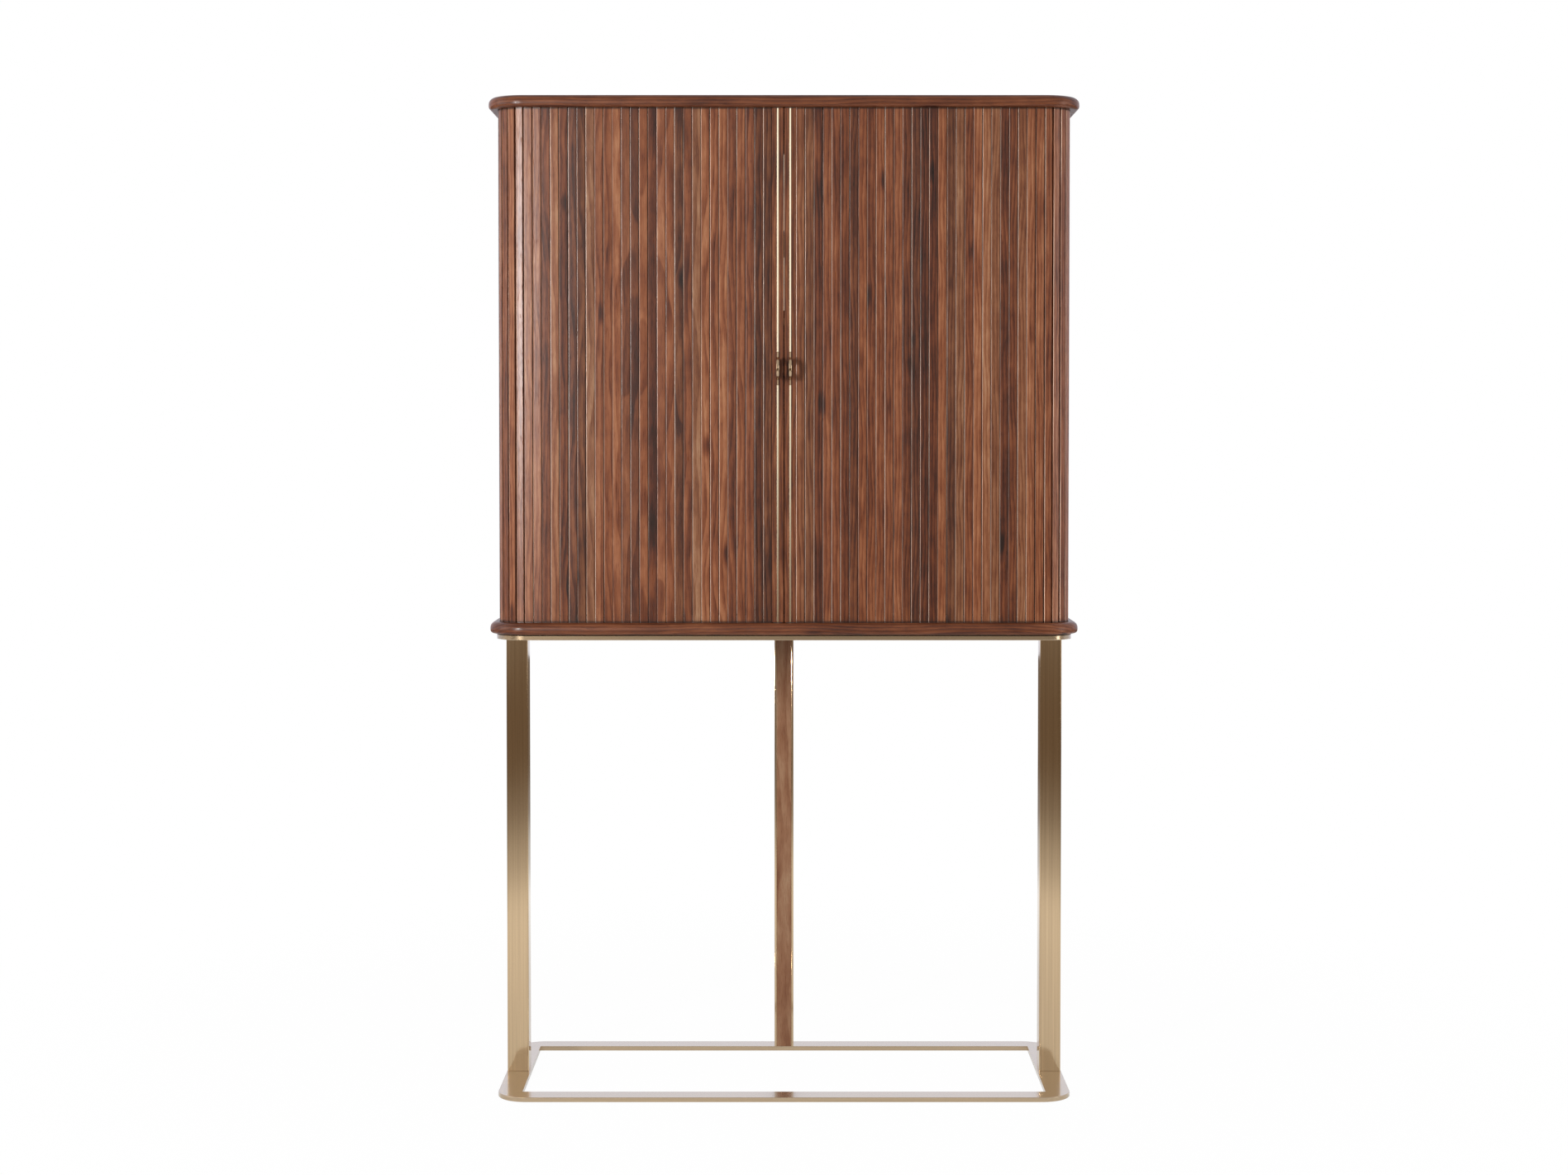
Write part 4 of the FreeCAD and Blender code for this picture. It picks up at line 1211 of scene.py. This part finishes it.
    def _cloth(self, name: str, path: Sequence[Spot]) -> bpy.types.Object:
        """A band of canvas along a path, with a UV map in metres.

        Args:
            name: The piece's name.
            path: Points along its middle, seen from above.

        Returns:
            The piece.
        """
        bm = bmesh.new()
        laid = bm.loops.layers.uv.new("cloth")
        spots = [Vector(spot) for spot in path]
        rows, last = self.canvas_rows, len(spots) - 1
        heights = [self.canvas_low + (self.canvas_high - self.canvas_low) * row / rows
                   for row in range(rows + 1)]
        marks, grids = {}, ([], [])
        for grid, way in zip(grids, (-0.5, 0.5)):
            run = 0.0
            for place, spot in enumerate(spots):
                before = spots[max(place - 1, 0)]
                run += (spot - before).length
                ahead = spots[min(place + 1, last)] - before
                out = Vector((ahead.y, -ahead.x)).normalized() * self.canvas_thick * way
                grid.append([bm.verts.new((spot.x + out.x, spot.y + out.y, z)) for z in heights])
                marks.update({vert: (run, z) for vert, z in zip(grid[-1], heights)})
            for near, far in zip(grid, grid[1:]):
                for row in range(rows):
                    bm.faces.new((near[row], far[row], far[row + 1], near[row + 1]))
        first, second = grids
        rims = [((place, row), (place + 1, row)) for place in range(last) for row in (0, rows)]
        rims += [((place, row), (place, row + 1)) for place in (0, last) for row in range(rows)]
        for (one, low), (two, high) in rims:
            bm.faces.new((first[one][low], first[two][high], second[two][high], second[one][low]))
        for face in bm.faces:
            for corner in face.loops:
                corner[laid].uv = marks[corner.vert]
        return from_bmesh(name, bm, Look.CANVAS)

    def _canvas(self, side: Side) -> None:
        """The canvas behind one door's slats and behind the wrapped run.

        Args:
            side: Which hand.
        """
        inset = self.slat_depth + self.canvas_thick / 2
        back, bend = self.half_y - inset, self.corner - inset
        y = self.middle_y - back
        reach = self.fold_x - self.first_x
        path = [(side.value * (self.first_x + reach * step / self.front_steps), y)
                for step in range(self.front_steps + 1)]
        front = self._cloth(f"{side.word}_door_canvas_dressed", path)
        hand_over(front, "case", "canvas", f"{side.word}_door_canvas")
        self._fold(front, side, y, self.canvas_low)
        centre_x, centre_y = self.half_x - self.corner, self.half_y - self.corner
        turn = [math.pi / 2 * step / self.bend_steps for step in range(self.bend_steps + 1)]
        path = [(self.fold_x, -back)]
        path += [(centre_x + bend * math.sin(a), -centre_y - bend * math.cos(a)) for a in turn]
        path += [(centre_x + bend, -centre_y + 2 * centre_y * step / self.side_steps)
                 for step in range(1, self.side_steps)]
        path += [(centre_x + bend * math.cos(a), centre_y + bend * math.sin(a)) for a in turn]
        path += [(self.fold_x, back)]
        wrap = self._cloth(f"{side.word}_wrap_canvas_dressed",
                           [(side.value * x, self.middle_y + y) for x, y in path])
        hand_over(wrap, "case", "canvas", f"{side.word}_wrap_canvas")


@dataclass
class LeadingStiles(Assembly):
    """The two meeting stiles, each with a brass strip, two guides and a ring pull."""

    stile_x: float = 10.5 * MM
    eased_zone: float = 9.0 * MM
    stile_ease: float = 0.3 * MM
    strip_ease: float = 0.2 * MM
    guide_ease: float = 0.5 * MM
    ring_radius: float = 19.0 * MM
    hole_radius: float = 10.2 * MM
    ring_thick: float = 4.8 * MM
    ring_edge: float = 0.9 * MM
    ring_steps: int = 96
    edge_steps: int = 4
    bite: float = 1.5 * MM
    pull_height: float = 1242.5 * MM
    strip_width: float = 2.8 * MM
    plate_length: float = 57.0 * MM
    plate_front: float = -211.4 * MM
    plate_thick: float = 2.0 * MM
    plate_ease: float = 0.4 * MM
    ease_bend: Spot = (0.35, 0.3)   # where the easing bends: its shares inwards and back
    plate_end: float = 0.9          # the end's radius as a share of half the width
    end_steps: int = 6

    def _near_faces(self, edge: bmesh.types.BMEdge) -> bool:
        """Whether an edge lies at the stile's sides, and not at the seat of its strip."""
        return all(abs(abs(vert.co.x) - self.stile_x) > self.eased_zone for vert in edge.verts)

    def build(self) -> None:
        """Make and hand over every piece."""
        for side in Side:
            hand, body = side.word, f"{side.word}_door"
            dress(Look.STILE, self.stile_ease, f"{hand}_stile", body=body, facets=1, chosen=self._near_faces)
            dress(Look.STRIP, self.strip_ease, f"{hand}_brass_strip", body=body, facets=1)
            dress(Look.NYLON, self.guide_ease, f"{hand}_stile_guides", body=body)
            hand_over(self._pull(side), body, "polished_brass", f"{hand}_pull")

    def _pull(self, side: Side) -> bpy.types.Object:
        """A flat ring edge-on to the front, on a narrow plate with rounded ends.

        Args:
            side: Which hand.

        Returns:
            The piece.
        """
        bm = bmesh.new()
        x = side.value * self.stile_x
        front = self.middle_y + self.plate_front
        centre_y = front + self.bite - self.ring_radius
        half_band = (self.ring_radius - self.hole_radius) / 2
        section = rounded_outline(self.ring_thick / 2, half_band, self.ring_edge,
                                  (self.ring_radius + self.hole_radius) / 2, self.edge_steps)
        rows = []
        for step in range(self.ring_steps):
            turn = 2 * math.pi * step / self.ring_steps
            rows.append([bm.verts.new((x + across, centre_y + reach * math.cos(turn),
                                       self.pull_height + reach * math.sin(turn)))
                         for across, reach in section])
        for step, row in enumerate(rows):
            skin_between(bm, row, rows[(step + 1) % self.ring_steps])
        half_w, half_l = self.strip_width / 2, self.plate_length / 2
        in_share, back_share = self.ease_bend
        loops = []
        for inset, y in ((0.0, front + self.plate_thick), (0.0, front + self.plate_ease),
                         (self.plate_ease * in_share, front + self.plate_ease * back_share),
                         (self.plate_ease, front)):
            ring = rounded_outline(half_w - inset, half_l - inset, half_w * self.plate_end - inset,
                                   self.pull_height, self.end_steps)
            loops.append([bm.verts.new((x + across, y, up)) for across, up in ring])
        for lower, upper in zip(loops, loops[1:]):
            skin_between(bm, lower, upper)
        bm.faces.new(loops[0])
        bm.faces.new(loops[-1])
        return from_bmesh(f"{side.word}_pull_dressed", bm, Look.PULL)


@dataclass
class InnerCase(Assembly):
    """The fixed case behind the curtains: sides, backs, mirror, shelves and divider."""

    ease: float = 0.7 * MM
    back_ease: float = 1.5 * MM
    glass_ease: float = 0.8 * MM
    pin_ease: float = 0.4 * MM

    def build(self) -> None:
        """Make and hand over every piece."""
        dress(Look.PANEL, self.ease, "left_inner_side", "right_inner_side", "inner_back")
        dress(Look.PANEL, self.back_ease, "outer_back")
        dress(Look.PANEL, self.ease, "centre_divider")
        dress(Look.SHELF, self.ease, "mid_shelf", "lower_shelf")
        dress(Look.MIRROR, self.glass_ease, "mirror_panel")
        dress(Look.GLASS, self.glass_ease, "upper_glass_shelf")
        dress(Look.FITTING, self.pin_ease, "upper_shelf_pins", "lower_shelf_pins")


@dataclass
class FoldOutShelf(Assembly):
    """The flap that folds down level with the mid shelf, its hinges, knob, rests and catches."""

    flap_ease: float = 1.0 * MM
    hinge_ease: float = 0.2 * MM
    knob_ease: float = 0.8 * MM
    rest_ease: float = 0.5 * MM

    def build(self) -> None:
        """Make and hand over every piece."""
        dress(Look.SHELF, self.flap_ease, "fold_out_shelf", body="fold_out_flap")
        dress(Look.FITTING, self.hinge_ease, "flap_hinge_leaves", body="fold_out_flap")
        dress(Look.FITTING, self.knob_ease, "flap_knob", body="fold_out_flap", slot="polished_brass")
        dress(Look.FITTING, self.hinge_ease, "shelf_hinge_leaves", "hinge_pins")
        dress(Look.FITTING, self.rest_ease, "flap_rests")
        dress(Look.NYLON, self.flap_ease, "flap_catches")


@dataclass
class StemwareRails(Assembly):
    """The T rails that hold glasses by the foot under the top slab."""

    ease: float = 0.7 * MM

    def build(self) -> None:
        """Make and hand over every piece."""
        dress(Look.FITTING, self.ease, "stemware_rails")


# ---------------------------------------------------------------------------
# Studio
# ---------------------------------------------------------------------------
@dataclass
class SoftLight:
    """A soft box that shines on the cabinet."""

    name: str
    place: Point
    target: Point
    width: float
    height: float
    watts: float
    glints: bool = False

    def build(self) -> None:
        """Add the light and turn it to its target."""
        data = bpy.data.lights.new(self.name, "AREA")
        data.shape, data.size, data.size_y = "RECTANGLE", self.width, self.height
        data.energy = self.watts
        lamp = bpy.data.objects.new(self.name, data)
        lamp.location = self.place
        aim = Vector(self.target) - Vector(self.place)
        lamp.rotation_euler = aim.to_track_quat("-Z", "Y").to_euler()
        lamp.visible_camera = False
        lamp.visible_glossy = self.glints
        bpy.context.scene.collection.objects.link(lamp)


@dataclass
class Studio:
    """The camera, a pale floor, a white surround and soft light."""

    image_width: int = 1897
    focal_px: float = 3300.0
    centre_row_shift_px: float = 85.0
    camera_place: Point = (0.0, -4.7912, 1.1377)
    tilt_down: float = 0.0317
    floor_radius: float = 9.0
    floor_segments: int = 96
    dark: Colour = (0.19, 0.14, 0.10)
    dusky: Colour = (0.30, 0.26, 0.23)
    grey: Colour = (0.62, 0.60, 0.58)

    def build(self) -> None:
        """Set up the camera, floor, surround and lights."""
        self._camera()
        self._floor()
        self._surround()
        left_edge, right_edge = (-0.45, -0.2, 1.20), (0.45, -0.2, 1.20)
        for light in (
                SoftLight("left_soft_box", (-1.72, -3.15, 1.54), (-0.1, -0.2, 1.28), 0.28, 1.05, 108.0,
                          glints=True),
                SoftLight("left_panel", (-3.00, -0.90, 1.80), (-0.4, -0.1, 1.20), 1.8, 2.2, 24.0,
                          glints=True),
                SoftLight("right_panel", (2.60, -1.90, 1.45), (0.3, -0.2, 1.15), 3.8, 1.1, 46.0),
                SoftLight("right_rim", (2.90, -0.45, 1.25), right_edge, 1.4, 2.0, 32.0),
                SoftLight("right_strip", (2.80, -1.30, 1.30), right_edge, 0.5, 1.9, 10.0, glints=True),
                SoftLight("left_rim", (-2.90, -0.45, 1.25), left_edge, 0.9, 1.8, 26.0),
                SoftLight("back_panel", (0.80, 3.40, 1.70), (0.0, 0.2, 1.15), 2.6, 1.6, 22.0),
                SoftLight("overhead_box", (0.0, -0.9, 3.4), (0.0, 0.0, 0.8), 2.4, 1.6, 3.0)):
            light.build()
        bpy.context.scene.view_settings.view_transform = "Standard"

    def _camera(self) -> None:
        """A view from the front, a little above the middle and tilted a little down."""
        data = bpy.data.cameras.new("front_camera")
        data.sensor_fit, data.sensor_width = "HORIZONTAL", 36.0
        data.lens = data.sensor_width * self.focal_px / self.image_width
        data.shift_y = -self.centre_row_shift_px / self.image_width
        camera = bpy.data.objects.new("front_camera", data)
        camera.location = self.camera_place
        camera.rotation_euler = (math.pi / 2 - self.tilt_down, 0.0, 0.0)
        bpy.context.scene.collection.objects.link(camera)
        bpy.context.scene.camera = camera

    def _floor(self) -> None:
        """A pale floor: white to the camera, apart from the cabinet's shadow."""
        bm = bmesh.new()
        bmesh.ops.create_circle(bm, cap_ends=True, segments=self.floor_segments, radius=self.floor_radius)
        mesh = bpy.data.meshes.new("studio_floor")
        bm.to_mesh(mesh)
        bm.free()
        material = bpy.data.materials.new("pale_floor")
        material.use_nodes = True
        b = Bench(material.node_tree)
        b.tree.nodes.remove(b.tree.nodes["Principled BSDF"])
        reach = b.add("ShaderNodeVectorMath", {0: b.object_place()}, operation="LENGTH").outputs["Value"]
        rays = b.add("ShaderNodeLightPath").outputs
        seen = rays["Is Camera Ray"]
        mirrored = b.work("MAXIMUM", rays["Is Glossy Ray"], rays["Is Transmission Ray"])
        near_white = b.ramp(b.band(reach, 0.0, 6.0, smooth=False),
                            ((0.00, WHITE), (0.30, WHITE), (0.42, self.grey), (0.58, self.dusky),
                             (0.75, self.dark)), True)
        pale = b.add("ShaderNodeBsdfDiffuse", {"Color": (0.70, 0.70, 0.70, 1.0)})
        white = b.add("ShaderNodeEmission", {"Color": b.blend(seen, near_white, WHITE), "Strength": 1.0})
        share = b.work("ADD", b.times(seen, b.band(reach, 0.8, 2.0, 0.985, 1.0)),
                       b.times(mirrored, b.band(reach, 0.5, 2.0, 0.55, 1.0)))
        mixed = b.add("ShaderNodeMixShader", {0: share, 1: pale.outputs[0], 2: white.outputs[0]})
        b.fill(b.tree.nodes["Material Output"], {"Surface": mixed.outputs[0]})
        as_piece("studio_floor", mesh, material)

    def _surround(self) -> None:
        """A white surround, with the darker band that a studio has behind the camera."""
        world = bpy.data.worlds.new("white_surround")
        bpy.context.scene.world = world
        world.use_nodes = True
        b = Bench(world.node_tree)
        part = b.axes(b.add("ShaderNodeTexCoord").outputs["Generated"])
        front = b.ramp(b.band(part["Z"], -0.15, 0.25, smooth=False),
                       ((0.00, self.dark), (0.14, self.dark), (0.25, self.dusky), (0.34, self.grey),
                        (0.46, (0.95, 0.95, 0.95)), (0.60, WHITE), (1.00, (0.70, 0.70, 0.70))), True)
        mirrored = b.blend(b.band(part["Y"], -0.25, 0.25), front, (0.88, 0.90, 1.00))
        rays = b.add("ShaderNodeLightPath").outputs
        white_rays = b.work("MAXIMUM", rays["Is Camera Ray"], rays["Is Transmission Ray"])
        lit = b.blend(rays["Is Glossy Ray"], (0.06, 0.06, 0.06), mirrored)
        b.fill(b.tree.nodes["Background"], {"Color": b.blend(white_rays, lit, WHITE), "Strength": 1.0})


def main() -> None:
    """Build the studio and the cabinet in order."""
    Studio().build()
    for kind in (BrassFrame, WalnutSlabs, TambourCurtains, LeadingStiles, InnerCase, FoldOutShelf,
                 StemwareRails):
        log.info("building %s", kind.__name__)
        kind().build()


if __name__ == "__main__":
    main()
